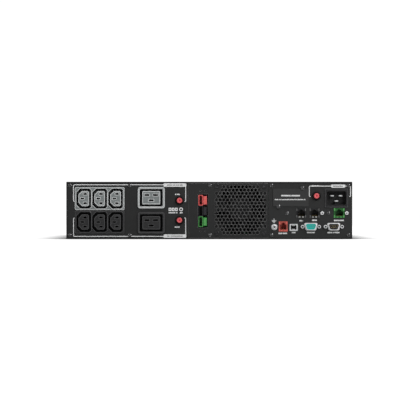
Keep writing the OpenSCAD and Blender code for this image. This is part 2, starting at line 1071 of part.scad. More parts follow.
module ground_screw() {
    color("#d0d3d5")
        at_panel(ground_at)
            difference() {
                union() {
                    cylinder(h = 1, r = 4.6);
                    translate([0, 0, -8])
                        cylinder(h = 9, r = 2);
                    translate([0, 0, 1])
                        cylinder(h = 2.4, r = 3.7);
                    translate([0, 0, 3.4])
                        cylinder(h = 0.6, r1 = 3.7, r2 = 2.9);
                }
                for (turn = [45, 135])
                    rotate([0, 0, turn])
                        translate([-2.4, -0.5, 2.6])
                            cube([4.8, 1, 3]);
            }
}

// Blanking plate of the expansion slot, with an ear for each screw
module slot_cover() {
    w = slot_box[2] - slot_box[0];
    h = slot_box[3] - slot_box[1];
    color("#333435")
        y_slab(panel_y - sheet_t, panel_y)
            difference() {
                union() {
                    translate([slot_box[0] + w / 2, slot_box[1] + h / 2])
                        round_rect([w, h], 1);
                    panel_holes(slot_screws_at, 4.2);
                }
                panel_holes(slot_screws_at, m3_clear_r);
            }
}

module slot_screws() {
    color("#18191a")
        for (place = slot_screws_at)
            at_panel(place, sheet_t)
                pan_screw(3.1, 2.2, 6);
}

// ---------- electronics ----------

module main_board() {
    color("#1f6b3a")
        difference() {
            block(main_board_x, main_board_y, [board_z, deck_z]);
            for (post = board_posts)
                translate([post[0], post[1], board_z - 1])
                    cylinder(h = 5, r = m3_clear_r);
        }
}

// Upright board behind the ports, held on two posts by the board screws
module comm_board() {
    y = panel_y + jack_depth;
    color("#1f6b3a")
        difference() {
            union() {
                block([97, 213], [y, y + board_t], [3, 47]);
                for (place = board_screws)
                    at_panel(place, -jack_depth)
                        cylinder(h = jack_depth - sheet_t, r = 3);
            }
            for (place = board_screws)
                at_panel(place, -jack_depth - 3)
                    cylinder(h = jack_depth + 4, r = m3_clear_r);
        }
}

// Two finned extrusions that face each other across the air duct
module heat_sinks() {
    fin_x = sink_outer - sink_base - fin_size[0] / 2 + 1;
    color("#b9bcbe")
        for (side = [-1, 1])
            translate([fan_at[0], 0, 0])
                y_slab(sink_y[0], sink_y[1]) {
                    translate([side * (sink_outer - sink_base / 2), deck_z + sink_h / 2])
                        square([sink_base, sink_h], center = true);
                    for (i = [0:fin_count - 1])
                        translate([side * fin_x, deck_z + 5 + i * fin_pitch])
                            square(fin_size, center = true);
                }
}

module power_transistors() {
    size = [5, 16, 21];
    count = 6;
    margin = 20;
    step = (sink_y[1] - sink_y[0] - 2 * margin) / (count - 1);
    color("#191a1b")
        for (side = [-1, 1], i = [0:count - 1])
            translate([
                fan_at[0] + side * (sink_outer + size[0] / 2),
                sink_y[0] + margin + i * step,
                deck_z + sink_h / 2
            ])
                cube(size, center = true);
}

module capacitors() {
    r = 15;
    h = 48;
    pitch = 36;
    score = 0.8;
    color("#23262b")
        for (x = [-64, -28], i = [0:4])
            translate([x, sink_y[0] + r + 1 + i * pitch, deck_z])
                difference() {
                    cylinder(h = h, r = r);
                    for (turn = [0, 90])
                        rotate([0, 0, turn])
                            translate([-0.6 * r, -score / 2, h - 0.5])
                                cube([1.2 * r, score, 1]);
                }
}

// Ring chokes lying on the board
module chokes() {
    ring_r = 17;
    wire_r = 9.9;
    color("#b06a35")
        for (y = [-205, -148, -91])
            translate([-112, y, deck_z + wire_r + 0.1])
                rotate_extrude()
                    translate([ring_r, 0])
                        circle(wire_r);
}

// Laminated core with its winding
module transformer() {
    core = [46, 58, 54];
    opening = [34, 10];
    winding_t = 7;
    color("#6d7072")
        translate([-172, -185, deck_z + core[2] / 2]) {
            difference() {
                cube(core, center = true);
                for (z = [-1, 1])
                    translate([0, 0, z * 13])
                        cube([core[0] + 2, opening[0], opening[1]], center = true);
            }
            for (x = [-1, 1])
                translate([x * (core[0] + winding_t) / 2, 0, 0])
                    cube([winding_t, opening[0] - 1, opening[0]], center = true);
        }
}

module relays() {
    size = [20, 28, 18];
    color("#2a2c30")
        for (x = [-196, -168], y = [-144, -110])
            translate([x, y, deck_z])
                cube(size);
}

// ---------- battery module ----------

// Fixed half of the battery connector, open towards the module
module bay_socket() {
    outer = plug_size + [8, 8];
    face = bulkhead_y + sheet_t;
    color("#2a2b2d")
        translate([plug_x, 0, plug_z])
            difference() {
                union() {
                    y_slab(face, face + 7)
                        square(outer, center = true);
                    y_slab(bulkhead_y - 6, face)
                        square([29, 9], center = true);
                }
                y_slab(face + 1, face + 9)
                    square(plug_size + [1.2, 1.2], center = true);
            }
}

// Middle of battery block number i
function cell_at(i) = [
    battery_x + battery_sheet + 0.5 + (i % 3) * (cell_w + terminal_room),
    battery_y[1] - battery_sheet - (floor(i / 3) + 1) * (cell_l + 0.5)
];

// Steel tray with a tall front plate and a pull handle
module battery_tray() {
    x = [battery_x, battery_x + battery_w];
    y = battery_y;
    z = battery_floor_z;
    s = battery_sheet;
    handle_x = (x[0] + x[1]) / 2;
    handle_w = 110;
    color("#a4a8ab") {
        difference() {
            union() {
                block(x, y, [z, z + s]);
                block([x[0], x[0] + s], y, [z, lid_z]);
                block([x[1] - s, x[1]], y, [z, lid_z]);
                block(x, [y[0], y[0] + s], [z, lid_z]);
                block(x, [y[1] - s, y[1]], [z, lid_z + 9]);
            }
            translate([plug_x, y[0], plug_z])
                cube([30, 6, 10], center = true);
        }
        for (side = [-1, 1])
            translate([handle_x + side * handle_w / 2, y[1] + 15, case_h / 2])
                rotate([90, 0, 0])
                    cylinder(h = 15.5, r = 3);
        translate([handle_x, y[1] + 15, case_h / 2])
            rotate([0, 90, 0])
                cylinder(h = handle_w + 6, r = 3, center = true);
    }
}

// Six sealed lead-acid blocks lying on their sides
module batteries() {
    color("#3b3f45")
        for (i = [0:5])
            translate([cell_at(i)[0], cell_at(i)[1], cell_z + 0.1]) {
                cube([cell_w - 10, cell_l, cell_h]);
                translate([cell_w - 11, 1, 1])
                    cube([11, cell_l - 2, cell_h - 2]);
            }
}

module battery_terminals() {
    color("#b89b5a")
        for (i = [0:5], side = [-1, 1])
            translate([
                cell_at(i)[0] + cell_w,
                cell_at(i)[1] + cell_l / 2 + side * 58,
                cell_z + cell_h / 2
            ])
                translate([0, -3.2, -0.4])
                    cube([5, 6.4, 0.8]);
}

// Insulated cables that link the terminals and run to the plug
module battery_leads() {
    r = 1.9;
    link_z = cell_z + cell_h / 2 + 0.4 + r;
    color("#8e2f2f") {
        for (i = [0:2])
            translate([
                cell_at(i)[0] + cell_w + 2.6,
                cell_at(i)[1] + cell_l / 2 - 52,
                link_z
            ])
                rotate([90, 0, 0])
                    cylinder(h = 48, r = r);
        for (i = [3, 4])
            translate([
                cell_at(i)[0] + cell_w + 2.6,
                battery_y[0] + battery_sheet + 4,
                link_z
            ]) {
                rotate([90, 0, 180])
                    cylinder(h = 14, r = r);
                sphere(r);
                rotate([0, i == 3 ? 90 : -90, 0])
                    cylinder(h = i == 3 ? 30 : 22, r = r);
            }
    }
}

// Pierced sheet that closes the tray over the batteries
module battery_lid() {
    x = [battery_x, battery_x + battery_w];
    color("#a4a8ab")
        difference() {
            block(x, [battery_y[0], battery_y[1] - battery_sheet - 0.2], [lid_z, lid_z + battery_sheet]);
            for (i = [0:5])
                translate([
                    cell_at(i)[0] + cell_w / 2,
                    cell_at(i)[1] + cell_l / 2,
                    lid_z
                ])
                    cube([60, 100, 5], center = true);
        }
}

// Moving half of the battery connector, on the tray's rear wall
module battery_plug() {
    color("#c23a3a")
        translate([plug_x, 0, plug_z])
            difference() {
                union() {
                    y_slab(battery_y[0] - 6.5, battery_y[0])
                        square(plug_size, center = true);
                    y_slab(battery_y[0], battery_y[0] + 2.5)
                        square([29, 9], center = true);
                }
                for (x = [-1, 1])
                    translate([x * 12, battery_y[0] - 7, 0])
                        cube([12, 8, 5], center = true);
            }
}

// ---------- front ----------

// A moulded shell, open at the back, between two X values; the children pierce its face
module bezel_shell(x) {
    w = x[1] - x[0];
    h = bezel_z[1] - bezel_z[0];
    middle = [(x[0] + x[1]) / 2, (bezel_z[0] + bezel_z[1]) / 2];
    difference() {
        y_slab(bezel_y, front_y)
            translate(middle)
                round_rect([w, h], bezel_r);
        y_slab(bezel_y - 1, front_y - bezel_front)
            translate(middle)
                square([w - 2 * bezel_wall, h - 2 * bezel_wall], center = true);
        y_slab(front_y - bezel_front - 1, front_y + 1)
            children();
    }
}

// Pull-off cover of the battery bay, with air slots and a snap tab at each end
module battery_door() {
    slot_count = 34;
    slot_pitch = 8;
    middle = (door_x[0] + door_x[1]) / 2;
    tab_z = [24, 60];
    color("#26272a") {
        bezel_shell(door_x)
            for (i = [0:slot_count - 1], row = [-1, 1])
                translate([
                    middle + (i - (slot_count - 1) / 2) * slot_pitch,
                    case_h / 2 + row * 16.5
                ])
                    square([3.6, 25], center = true);
        block([-inner_x + 0.3, -inner_x + 1.4], [bezel_y - 10, front_y - 6], tab_z);
        block([-inner_x + 0.3, door_x[0] + bezel_wall + 0.5], [bezel_y + 1, front_y - 6], tab_z);
        block([bay_wall_x - 1.8, bay_wall_x - 0.5], [bezel_y - 10, front_y - 6], tab_z);
    }
}

// Fixed half of the front, around the display and the keys
module front_bezel() {
    color("#26272a") {
        bezel_shell(bezel_x) {
            translate(window_at)
                square(window, center = true);
            translate([key_xs[1], key_z])
                circle(power_r + key_gap);
            for (i = [0, 2])
                translate([key_xs[i], key_z])
                    circle(key_r + key_gap);
        }
        for (x = [-1, 1], z = [8, 78])
            translate([window_at[0] + x * 50, front_y - bezel_front + 0.5, z])
                rotate([90, 0, 0])
                    cylinder(h = front_y - display_y - bezel_front + 0.5, r = 2.5);
    }
}

module display_lens() {
    color("#101214")
        y_slab(front_y - 2.4, front_y - 0.3)
            translate(window_at)
                square(window - [0.3, 0.3], center = true);
}

// Display glass and the three key switches on one board
module display_module() {
    color("#2f6f45")
        union() {
            block([window_at[0] - 55, window_at[0] + 55], [display_y - board_t, display_y], [4, 81]);
            block(
                [window_at[0] - 36, window_at[0] + 36], [display_y - 0.5, front_y - 3.4],
                [window_at[1] - 18, window_at[1] + 18]
            );
            for (x = key_xs)
                translate([x, display_y, key_z])
                    rotate([-90, 0, 0])
                        cylinder(h = 3, r = 2.2);
        }
}

// A round key with a collar that keeps it behind the bezel
module round_key(x, r) {
    top = front_y - 0.2;
    collar_y = front_y - bezel_front - 0.3;
    stem = collar_y - 1.4 - (display_y + 3 + key_travel + 0.3);
    translate([x, top, key_z])
        rotate([90, 0, 0]) {
            cylinder(h = top - collar_y + 1.4, r = r);
            translate([0, 0, top - collar_y])
                cylinder(h = 1.4, r = r + 1.3);
            translate([0, 0, top - collar_y + 1.4])
                cylinder(h = stem, r = 2);
        }
}

module power_button() {
    color("#c9ccce")
        round_key(key_xs[1], power_r);
}

module scroll_key() {
    color("#8d9194")
        round_key(key_xs[0], key_r);
}

module enter_key() {
    color("#8d9194")
        round_key(key_xs[2], key_r);
}

chassis_tray();
top_cover();
outlet_panel();
fan_panel();
comm_panel();
bay_wall();
front_bezel();
display_lens();
display_module();
panel_screws();
cover_screws();
c13_block_grey();
c13_block_black();
c19_outlet_grey();
c19_outlet_black();
outlet_contacts();
inlet_socket();
inlet_pins();
breaker_bodies();
breaker_nuts();
reset_button_upper();
reset_button_lower();
reset_button_input();
dc_housing_red();
dc_housing_black();
dc_housing_green();
dc_contacts();
fan_frame();
fan_rotor();
fan_screws();
network_jacks();
contact_jack();
epo_jack();
usb_port();
serial_shells();
serial_insert_cyan();
serial_insert_black();
jackscrews();
ground_screw();
slot_cover();
slot_screws();
main_board();
comm_board();
heat_sinks();
power_transistors();
capacitors();
chokes();
transformer();
relays();
bay_socket();
battery_tray();
batteries();
battery_terminals();
battery_leads();
battery_lid();
battery_plug();
battery_door();
power_button();
scroll_key();
enter_key();
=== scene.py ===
import json
import math
import random

import bmesh
import bpy
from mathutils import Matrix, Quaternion, Vector


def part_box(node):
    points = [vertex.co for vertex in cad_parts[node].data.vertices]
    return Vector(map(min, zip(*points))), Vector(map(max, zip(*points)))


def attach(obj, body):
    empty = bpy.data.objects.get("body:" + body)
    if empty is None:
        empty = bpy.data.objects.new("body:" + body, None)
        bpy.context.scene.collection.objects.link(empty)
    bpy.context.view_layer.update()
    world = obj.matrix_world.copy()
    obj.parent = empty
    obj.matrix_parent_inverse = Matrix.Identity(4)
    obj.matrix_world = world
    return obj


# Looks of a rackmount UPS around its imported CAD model. Metres, +X right in the rear view,
# +Y from the rear panel to the front bezel, +Z up.

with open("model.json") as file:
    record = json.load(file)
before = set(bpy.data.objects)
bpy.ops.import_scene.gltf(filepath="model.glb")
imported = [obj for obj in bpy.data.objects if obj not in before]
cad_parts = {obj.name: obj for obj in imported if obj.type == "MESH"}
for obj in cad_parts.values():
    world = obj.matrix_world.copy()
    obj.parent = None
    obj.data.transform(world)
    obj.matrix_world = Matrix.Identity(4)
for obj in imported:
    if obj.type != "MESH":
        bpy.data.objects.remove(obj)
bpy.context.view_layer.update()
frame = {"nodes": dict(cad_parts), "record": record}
NODES = frame["nodes"]
MM = 0.001
INK_T = 0.08 * MM  # thickness of print
FILM_T = 0.05 * MM  # thickness of a lighter or darker film on a moulded face


# ---------- places taken from the frame ----------

def corner_low(node):
    return Vector(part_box(node)[0])


def corner_high(node):
    return Vector(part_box(node)[1])


def middle(node):
    return (corner_low(node) + corner_high(node)) / 2


# Heights outwards, along the direction that each side faces
REAR = -corner_low("outlet_panel").y
FRONT = corner_high("battery_door").y
RIGHT = corner_high("chassis_tray").x


# ---------- materials ----------

def new_nodes(name):
    """A material with its Principled shader, and a maker of further nodes."""
    material = bpy.data.materials.new(name)
    material.use_nodes = True
    tree = material.node_tree
    shader = tree.nodes["Principled BSDF"]

    def make(kind, inputs=(), **settings):
        node = tree.nodes.new(kind)
        for key, value in settings.items():
            setattr(node, key, value)
        for socket, value in dict(inputs).items():
            if isinstance(value, bpy.types.NodeSocket):
                tree.links.new(value, node.inputs[socket])
            else:
                node.inputs[socket].default_value = value
        return node

    return material, tree, shader, make


def shade(colour, factor):
    return (*[min(1.0, c * factor) for c in colour], 1.0)


NOISE_LOW, NOISE_HIGH = 0.3, 0.7  # the range that two mixed noises cover


def surface(name, colour, rough, grain, depth, metallic=0.0, spread=0.12, patch=18.0,
            rough_spread=0.08, stretch=(1, 1, 1), specular=0.5):
    """A procedural surface: patchy colour, varied roughness and a fine bump of the given depth in mm."""
    material, tree, shader, make = new_nodes(name)
    place = make("ShaderNodeTexCoord")
    mapped = make("ShaderNodeMapping", {"Vector": place.outputs["Object"], "Scale": stretch})
    vector = mapped.outputs["Vector"]
    broad = make("ShaderNodeTexNoise", {"Vector": vector, "Scale": patch, "Detail": 4.0})
    fine = make("ShaderNodeTexNoise", {"Vector": vector, "Scale": grain, "Detail": 3.0, "Roughness": 0.6})
    blend = make("ShaderNodeMath", {0: broad.outputs["Fac"], 1: fine.outputs["Fac"]}, operation="ADD")
    half = make("ShaderNodeMath", {0: blend.outputs[0], 1: 0.5}, operation="MULTIPLY")
    ramp = make("ShaderNodeValToRGB", {"Fac": half.outputs[0]})
    low, high = ramp.color_ramp.elements
    low.position, high.position = NOISE_LOW, NOISE_HIGH
    low.color, high.color = shade(colour, 1 - spread), shade(colour, 1 + spread)
    tree.links.new(ramp.outputs["Color"], shader.inputs["Base Color"])
    varied = make("ShaderNodeMapRange", {
        "Value": half.outputs[0], "From Min": NOISE_LOW, "From Max": NOISE_HIGH,
        "To Min": max(0.02, rough - rough_spread), "To Max": min(1.0, rough + rough_spread)})
    tree.links.new(varied.outputs["Result"], shader.inputs["Roughness"])
    bump = make("ShaderNodeBump", {
        "Height": fine.outputs["Fac"], "Strength": 1.0, "Distance": depth * MM})
    tree.links.new(bump.outputs["Normal"], shader.inputs["Normal"])
    shader.inputs["Metallic"].default_value = metallic
    shader.inputs["Specular IOR Level"].default_value = specular
    return material


def powder_coat(name, colour):
    """Fine textured powder coat: an orange-peel bump and faint patches."""
    return surface(name, colour, 0.5, grain=1500.0, depth=0.06, spread=0.16, patch=9.0,
                   rough_spread=0.03, specular=0.3)


def moulded(name, colour, rough, specular=0.35):
    return surface(name, colour, rough, grain=2200.0, depth=0.012, spread=0.05, patch=30.0,
                   specular=specular)


def metal(name, colour, rough, **more):
    return surface(name, colour, rough, metallic=1.0, grain=700.0, depth=0.006, spread=0.08, **more)


def clear_plastic(name, tint):
    material = surface(name, tint, 0.05, grain=400.0, depth=0.001, spread=0.05, rough_spread=0.02)
    shader = material.node_tree.nodes["Principled BSDF"]
    shader.inputs["Transmission Weight"].default_value = 0.9
    shader.inputs["IOR"].default_value = 1.49
    return material


def circuit_board():
    """Green solder mask with a darker network of tracks."""
    material, tree, shader, make = new_nodes("circuit_board")
    place = make("ShaderNodeTexCoord")
    tracks = make("ShaderNodeTexBrick", {
        "Vector": place.outputs["Object"], "Scale": 140.0, "Mortar Size": 0.03,
        "Color1": (0.012, 0.12, 0.04, 1), "Color2": (0.016, 0.15, 0.05, 1),
        "Mortar": (0.03, 0.24, 0.09, 1)})
    tree.links.new(tracks.outputs["Color"], shader.inputs["Base Color"])
    bump = make("ShaderNodeBump", {"Height": tracks.outputs["Fac"], "Distance": 0.03 * MM})
    tree.links.new(bump.outputs["Normal"], shader.inputs["Normal"])
    shader.inputs["Roughness"].default_value = 0.3
    return material


MATERIALS = {
    "case_coat": powder_coat("case_coat", (0.012, 0.0123, 0.0127)),
    "panel_coat": powder_coat("panel_coat", (0.022, 0.0225, 0.0225)),
    "zinc_sheet": metal("zinc_sheet", (0.36, 0.375, 0.38), 0.48, patch=60.0, stretch=(1, 0.2, 1)),
    "black_screw": metal("black_screw", (0.15, 0.15, 0.153), 0.2, rough_spread=0.03),
    "bright_metal": surface("bright_metal", (0.9, 0.91, 0.92), 0.34, metallic=0.55, grain=700.0,
                            depth=0.006, spread=0.05),
    "brass_contact": metal("brass_contact", (0.66, 0.5, 0.22), 0.3),
    "grey_plastic": moulded("grey_plastic", (0.25, 0.275, 0.275), 0.42),
    "black_plastic": moulded("black_plastic", (0.017, 0.017, 0.018), 0.4),
    "fan_plastic": moulded("fan_plastic", (0.004, 0.004, 0.0045), 0.45, specular=0.25),
    "bezel_plastic": moulded("bezel_plastic", (0.014, 0.014, 0.016), 0.42),
    "red_plastic": moulded("red_plastic", (0.88, 0.15, 0.16), 0.32),
    "epo_plastic": moulded("epo_plastic", (0.5, 0.1, 0.075), 0.42),
    "green_plastic": moulded("green_plastic", (0.05, 0.33, 0.075), 0.4),
    "cyan_plastic": moulded("cyan_plastic", (0.005, 0.52, 0.47), 0.4),
    "lens_glass": clear_plastic("lens_glass", (0.72, 0.74, 0.75)),
    "circuit_board": circuit_board(),
    "heat_sink": metal("heat_sink", (0.62, 0.63, 0.65), 0.4, patch=80.0, stretch=(1, 0.1, 1)),
    "winding": surface("winding", (0.5, 0.22, 0.08), 0.3, metallic=0.6, grain=500.0, depth=0.2),
    "core_steel": metal("core_steel", (0.25, 0.25, 0.25), 0.5, stretch=(12, 1, 1)),
    "capacitor_sleeve": moulded("capacitor_sleeve", (0.02, 0.025, 0.04), 0.25),
    "battery_case": moulded("battery_case", (0.05, 0.055, 0.065), 0.5),
    "lead_sleeve": moulded("lead_sleeve", (0.3, 0.02, 0.02), 0.5),
    "key_plastic": moulded("key_plastic", (0.4, 0.42, 0.43), 0.35),
}
WHITE_INK = surface("white_ink", (0.93, 0.94, 0.94), 0.5, grain=1800.0, depth=0.01, spread=0.04)
DARK_INK = surface("dark_ink", (0.03, 0.03, 0.033), 0.5, grain=1800.0, depth=0.01, spread=0.1)
# Painted highlights: lighter films on the rims and flanges of the outlets and on the inlet's flange
PALE_RIM_HIGHLIGHT = moulded("pale_rim_highlight", (0.7, 0.72, 0.72), 0.3)
DARK_RIM_HIGHLIGHT = moulded("dark_rim_highlight", (0.08, 0.08, 0.082), 0.3)
# Painted highlight on the rim and tongue of the black battery housing
BLACK_RIM_HIGHLIGHT = moulded("black_rim_highlight", (0.032, 0.03, 0.036), 0.35)
# Painted highlight on the corners of the network jacks' faces
JACK_CORNER_HIGHLIGHT = moulded("jack_corner_highlight", (0.17, 0.17, 0.17), 0.35)
PALE_WINDOW = moulded("pale_window", (0.62, 0.63, 0.6), 0.3)
TIN = surface("tin", (0.93, 0.93, 0.94), 0.4, metallic=0.3, grain=700.0, depth=0.006, spread=0.04)
LIGHT_COAT = powder_coat("light_coat", (0.036, 0.0365, 0.0365))
OUTLET_BLACK = moulded("outlet_black", (0.028, 0.028, 0.029), 0.38)
# Painted highlight: a lighter coat on the softened edges of the fan grille
EDGE_HIGHLIGHT_COAT = powder_coat("painted_edge_highlight", (0.26, 0.26, 0.26))
FAN_SCREW = metal("fan_screw", (0.06, 0.06, 0.062), 0.35)
# Painted shade: a darker copy of brass for the outlet contacts deep in their slots
BRASS_IN_SHADE = metal("brass_in_painted_shade", (0.02, 0.017, 0.012), 0.5)
NUT_BLACK = moulded("nut_black", (0.004, 0.004, 0.0042), 0.35, specular=0.2)
# Painted shade: a darker copy of silver for the battery connector's contacts
SILVER_IN_SHADE = metal("silver_in_painted_shade", (0.09, 0.09, 0.09), 0.45)
# Painted shade in holes, grooves, slots, bores and recesses; also the black plastic of the USB tongue's
# sleeve
SHADE_AND_BLACK_PLASTIC = moulded("painted_shade_and_black_plastic", (0.003, 0.003, 0.003), 0.6, specular=0.1)
# Painted shade inside the red and green battery housings
RED_SHADE = moulded("red_painted_shade", (0.5, 0.02, 0.03), 0.4)
GREEN_SHADE = moulded("green_painted_shade", (0.008, 0.06, 0.012), 0.4)
# Painted highlights on the red and green battery housings' rims and tongues and on the coloured jacks'
# corners; they also colour those jacks' windows
PALE_RED = moulded("pale_red", (0.9, 0.16, 0.14), 0.35)
PALE_GREEN = moulded("pale_green", (0.11, 0.42, 0.11), 0.35)
# Painted shade: a darker red on the floor of each reset button's dimple
DIMPLE_SHADE = moulded("dimple_painted_shade", (0.6, 0.04, 0.07), 0.35)
JACK_GREEN = moulded("jack_green", (0.016, 0.125, 0.022), 0.4)
GOLD = metal("gold_contact", (0.85, 0.66, 0.3), 0.25)
FOAM = surface("filter_foam", (0.012, 0.012, 0.013), 0.95, grain=420.0, depth=0.8, spread=0.5, specular=0.1)
LCD_GLASS = moulded("lcd_glass", (0.26, 0.34, 0.28), 0.25)
LED_LENS = moulded("led_lens", (0.3, 0.36, 0.31), 0.2)
LABEL_PAPER = surface("label_paper", (0.66, 0.67, 0.66), 0.55, grain=1200.0, depth=0.008, spread=0.05)
BATTERY_STRIPE = surface("battery_stripe", (0.05, 0.16, 0.42), 0.5, grain=1200.0, depth=0.008, spread=0.06)


# ---------- carried-over CAD nodes ----------

BEVEL_SKIP = {"main_board", "comm_board", "heat_sinks", "capacitors", "chokes", "batteries",
              "battery_leads", "battery_terminals", "transformer", "relays", "power_transistors"}
USUAL_BEVEL = 0.25  # width of a softened edge in mm
# And where it is another width
BEVEL_WIDTHS = {"fan_panel": 0.22, "outlet_contacts": 0.1, "inlet_pins": 0.3, "panel_screws": 0.12,
                "slot_screws": 0.12, "cover_screws": 0.1, "jackscrews": 0.1, "chassis_tray": 0.35,
                "top_cover": 0.35, "battery_door": 0.4, "front_bezel": 0.4,
                "c13_block_black": 0.35, "c19_outlet_black": 0.35, "slot_cover": 0.3,
                "ground_screw": 0.1, "serial_insert_cyan": 0.06, "serial_insert_black": 0.06,
                "outlet_panel": 0.12, "comm_panel": 0.12}
# Pieces whose material differs from the rest of their kind; the outlet and battery contacts take darker
# copies of their metal, a painted shade
OWN_LOOKS = {"contact_jack": JACK_GREEN, "slot_cover": LIGHT_COAT, "fan_screws": FAN_SCREW,
             "c13_block_black": OUTLET_BLACK, "c19_outlet_black": OUTLET_BLACK,
             "outlet_contacts": BRASS_IN_SHADE, "dc_contacts": SILVER_IN_SHADE,
             "breaker_nuts": NUT_BLACK, "breaker_bodies": NUT_BLACK}
# Pieces whose softened edges show a lighter coat, a painted highlight
EDGE_HIGHLIGHTS = {"fan_panel": EDGE_HIGHLIGHT_COAT}


def finish_cad_node(name, node, material):
    """Gives a CAD node its material, and softens its sharp edges while its flat faces stay flat."""
    node.data.materials.clear()
    node.data.materials.append(material)
    if name in BEVEL_SKIP:
        return
    weld = node.modifiers.new("weld", "WELD")
    weld.merge_threshold = 0.002 * MM
    # Joins level triangles, which the bevel would tear
    flat = node.modifiers.new("flat", "DECIMATE")
    flat.decimate_type = "DISSOLVE"
    flat.angle_limit = math.radians(0.2)
    bevel = node.modifiers.new("bevel", "BEVEL")
    bevel.width = BEVEL_WIDTHS.get(name, USUAL_BEVEL) * MM
    bevel.segments = 2
    bevel.limit_method = "ANGLE"
    bevel.angle_limit = math.radians(32)
    bevel.use_clamp_overlap = False
    normals = node.modifiers.new("normals", "WEIGHTED_NORMAL")
    normals.keep_sharp = True
    # Painted highlight: the softened edges take a lighter coat of their own
    if name in EDGE_HIGHLIGHTS:
        node.data.materials.append(EDGE_HIGHLIGHTS[name])
        bevel.material = 1


for part in frame["record"]["subparts"]:
    look = OWN_LOOKS.get(part["node"], MATERIALS[part["material_slot"]])
    finish_cad_node(part["node"], NODES[part["node"]], look)


# ---------- flat and extruded shapes ----------

# For each side: the directions of a shape's two axes, and the way outwards
SIDES = {
    "rear": (Vector((1, 0, 0)), Vector((0, 0, 1)), Vector((0, -1, 0))),
    "front": (Vector((1, 0, 0)), Vector((0, 0, 1)), Vector((0, 1, 0))),
    "right": (Vector((0, 1, 0)), Vector((0, 0, 1)), Vector((1, 0, 0))),
    "top": (Vector((1, 0, 0)), Vector((0, 1, 0)), Vector((0, 0, 1))),
}


def add_piece(name, bm, material, body="case"):
    """Makes an object of a bmesh, gives it its material and lets it ride on a body."""
    bmesh.ops.recalc_face_normals(bm, faces=bm.faces)
    mesh = bpy.data.meshes.new(name)
    bm.to_mesh(mesh)
    bm.free()
    mesh.materials.append(material)
    piece = bpy.data.objects.new(name, mesh)
    bpy.context.scene.collection.objects.link(piece)
    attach(piece, body)
    return piece


def extrude(bm, shape, base, thickness, side="rear"):
    """Adds one flat shape, made solid outwards from base: an outline, or an outer and inner pair."""
    across, up, out = SIDES[side]

    def loop(outline, height):
        return [bm.verts.new(across * u + up * v + out * height) for u, v in outline]

    def wall(low, high):
        for i in range(len(low)):
            bm.faces.new((low[i - 1], low[i], high[i], high[i - 1]))

    outlines = shape if isinstance(shape, tuple) else (shape,)
    edges = [(loop(outline, base), loop(outline, base + thickness)) for outline in outlines]
    for low, high in edges:
        wall(low, high)
    for loops in zip(*edges):
        if len(loops) == 2:
            wall(*loops)
        else:
            bm.faces.new(loops[0])


def slab(name, shapes, base, thickness, material, side="rear", body="case"):
    """One piece made of flat shapes of the same thickness."""
    bm = bmesh.new()
    for shape in shapes:
        extrude(bm, shape, base, thickness, side)
    return add_piece(name, bm, material, body)


def strip(bm, x, start, end, width, thickness):
    """Adds a thin bar across the X direction between two (Y, Z) points."""
    run = (Vector(end) - Vector(start)).normalized()
    lift = Vector((-run.y, run.x)) * thickness / 2
    profile = [Vector(start) + lift, Vector(end) + lift, Vector(end) - lift, Vector(start) - lift]
    sides = [[bm.verts.new((x + s * width / 2, p.x, p.y)) for p in profile] for s in (-1, 1)]
    bm.faces.new(sides[0])
    bm.faces.new(sides[1])
    for i in range(4):
        bm.faces.new((sides[0][i - 1], sides[0][i], sides[1][i], sides[1][i - 1]))


def arc(cx, cz, r, start, end, steps=6):
    """Points of an arc between two angles in degrees."""
    angles = [math.radians(start + (end - start) * i / steps) for i in range(steps + 1)]
    return [(cx + r * math.cos(a), cz + r * math.sin(a)) for a in angles]


def circle(cx, cz, r, steps=24):
    return arc(cx, cz, r, 0, 360, steps)[:-1]


def ring(cx, cz, outer, inner, steps=24):
    return (circle(cx, cz, outer, steps), circle(cx, cz, inner, steps))


def plain_box(x0, z0, x1, z1):
    return [(x0, z0), (x1, z0), (x1, z1), (x0, z1)]


def round_box(x0, z0, x1, z1, r):
    """A rectangle with round corners, as one outline."""
    return (arc(x1 - r, z1 - r, r, 0, 90) + arc(x0 + r, z1 - r, r, 90, 180)
            + arc(x0 + r, z0 + r, r, 180, 270) + arc(x1 - r, z0 + r, r, 270, 360))


def round_rect(cx, cz, w, h, r):
    return round_box(cx - w / 2, cz - h / 2, cx + w / 2, cz + h / 2, r)


def cut_rect(cx, cz, w, h, left, right):
    """A rectangle with straight cut corners, cut deeper at its left."""
    w, h = w / 2, h / 2
    corners = [(left - w, -h), (w - right, -h), (w, right - h), (w, h - right),
               (w - right, h), (left - w, h), (-w, h - left), (-w, left - h)]
    return [(cx + x, cz + z) for x, z in corners]


def line_band(points, width):
    """A printed line along straight runs with mitred corners, as one outline."""
    sharpest = 0.4  # keeps the mitre of a sharp corner short
    spots = [Vector(point) for point in points]
    ways = [(b - a).normalized() for a, b in zip(spots, spots[1:])]
    left, right = [], []
    for i, here in enumerate(spots):
        meeting = ways[max(0, i - 1):i + 1]
        along = sum(meeting, Vector((0, 0))).normalized()
        across = Vector((-along.y, along.x))
        reach = width / 2 / max(sharpest, along.dot(meeting[0]))
        left.append(tuple(here + across * reach))
        right.append(tuple(here - across * reach))
    return left + right[::-1]


CURVE_STEPS = 4


def rounded_path(points, r):
    """The same run of points with each inner corner cut by a short curve."""
    path = [points[0]]
    for before, here, after in zip(points, points[1:], points[2:]):
        here = Vector(here)
        start = here + (Vector(before) - here).normalized() * r
        end = here + (Vector(after) - here).normalized() * r
        for i in range(CURVE_STEPS + 1):
            t = i / CURVE_STEPS
            path.append(tuple(start * (1 - t) ** 2 + here * 2 * t * (1 - t) + end * t ** 2))
    path.append(points[-1])
    return path


BLOCK_GAP, WORD_GAP = 0.3, 1.0  # in mm
SAME_WORD = 0.85  # chance that the next block belongs to the same word


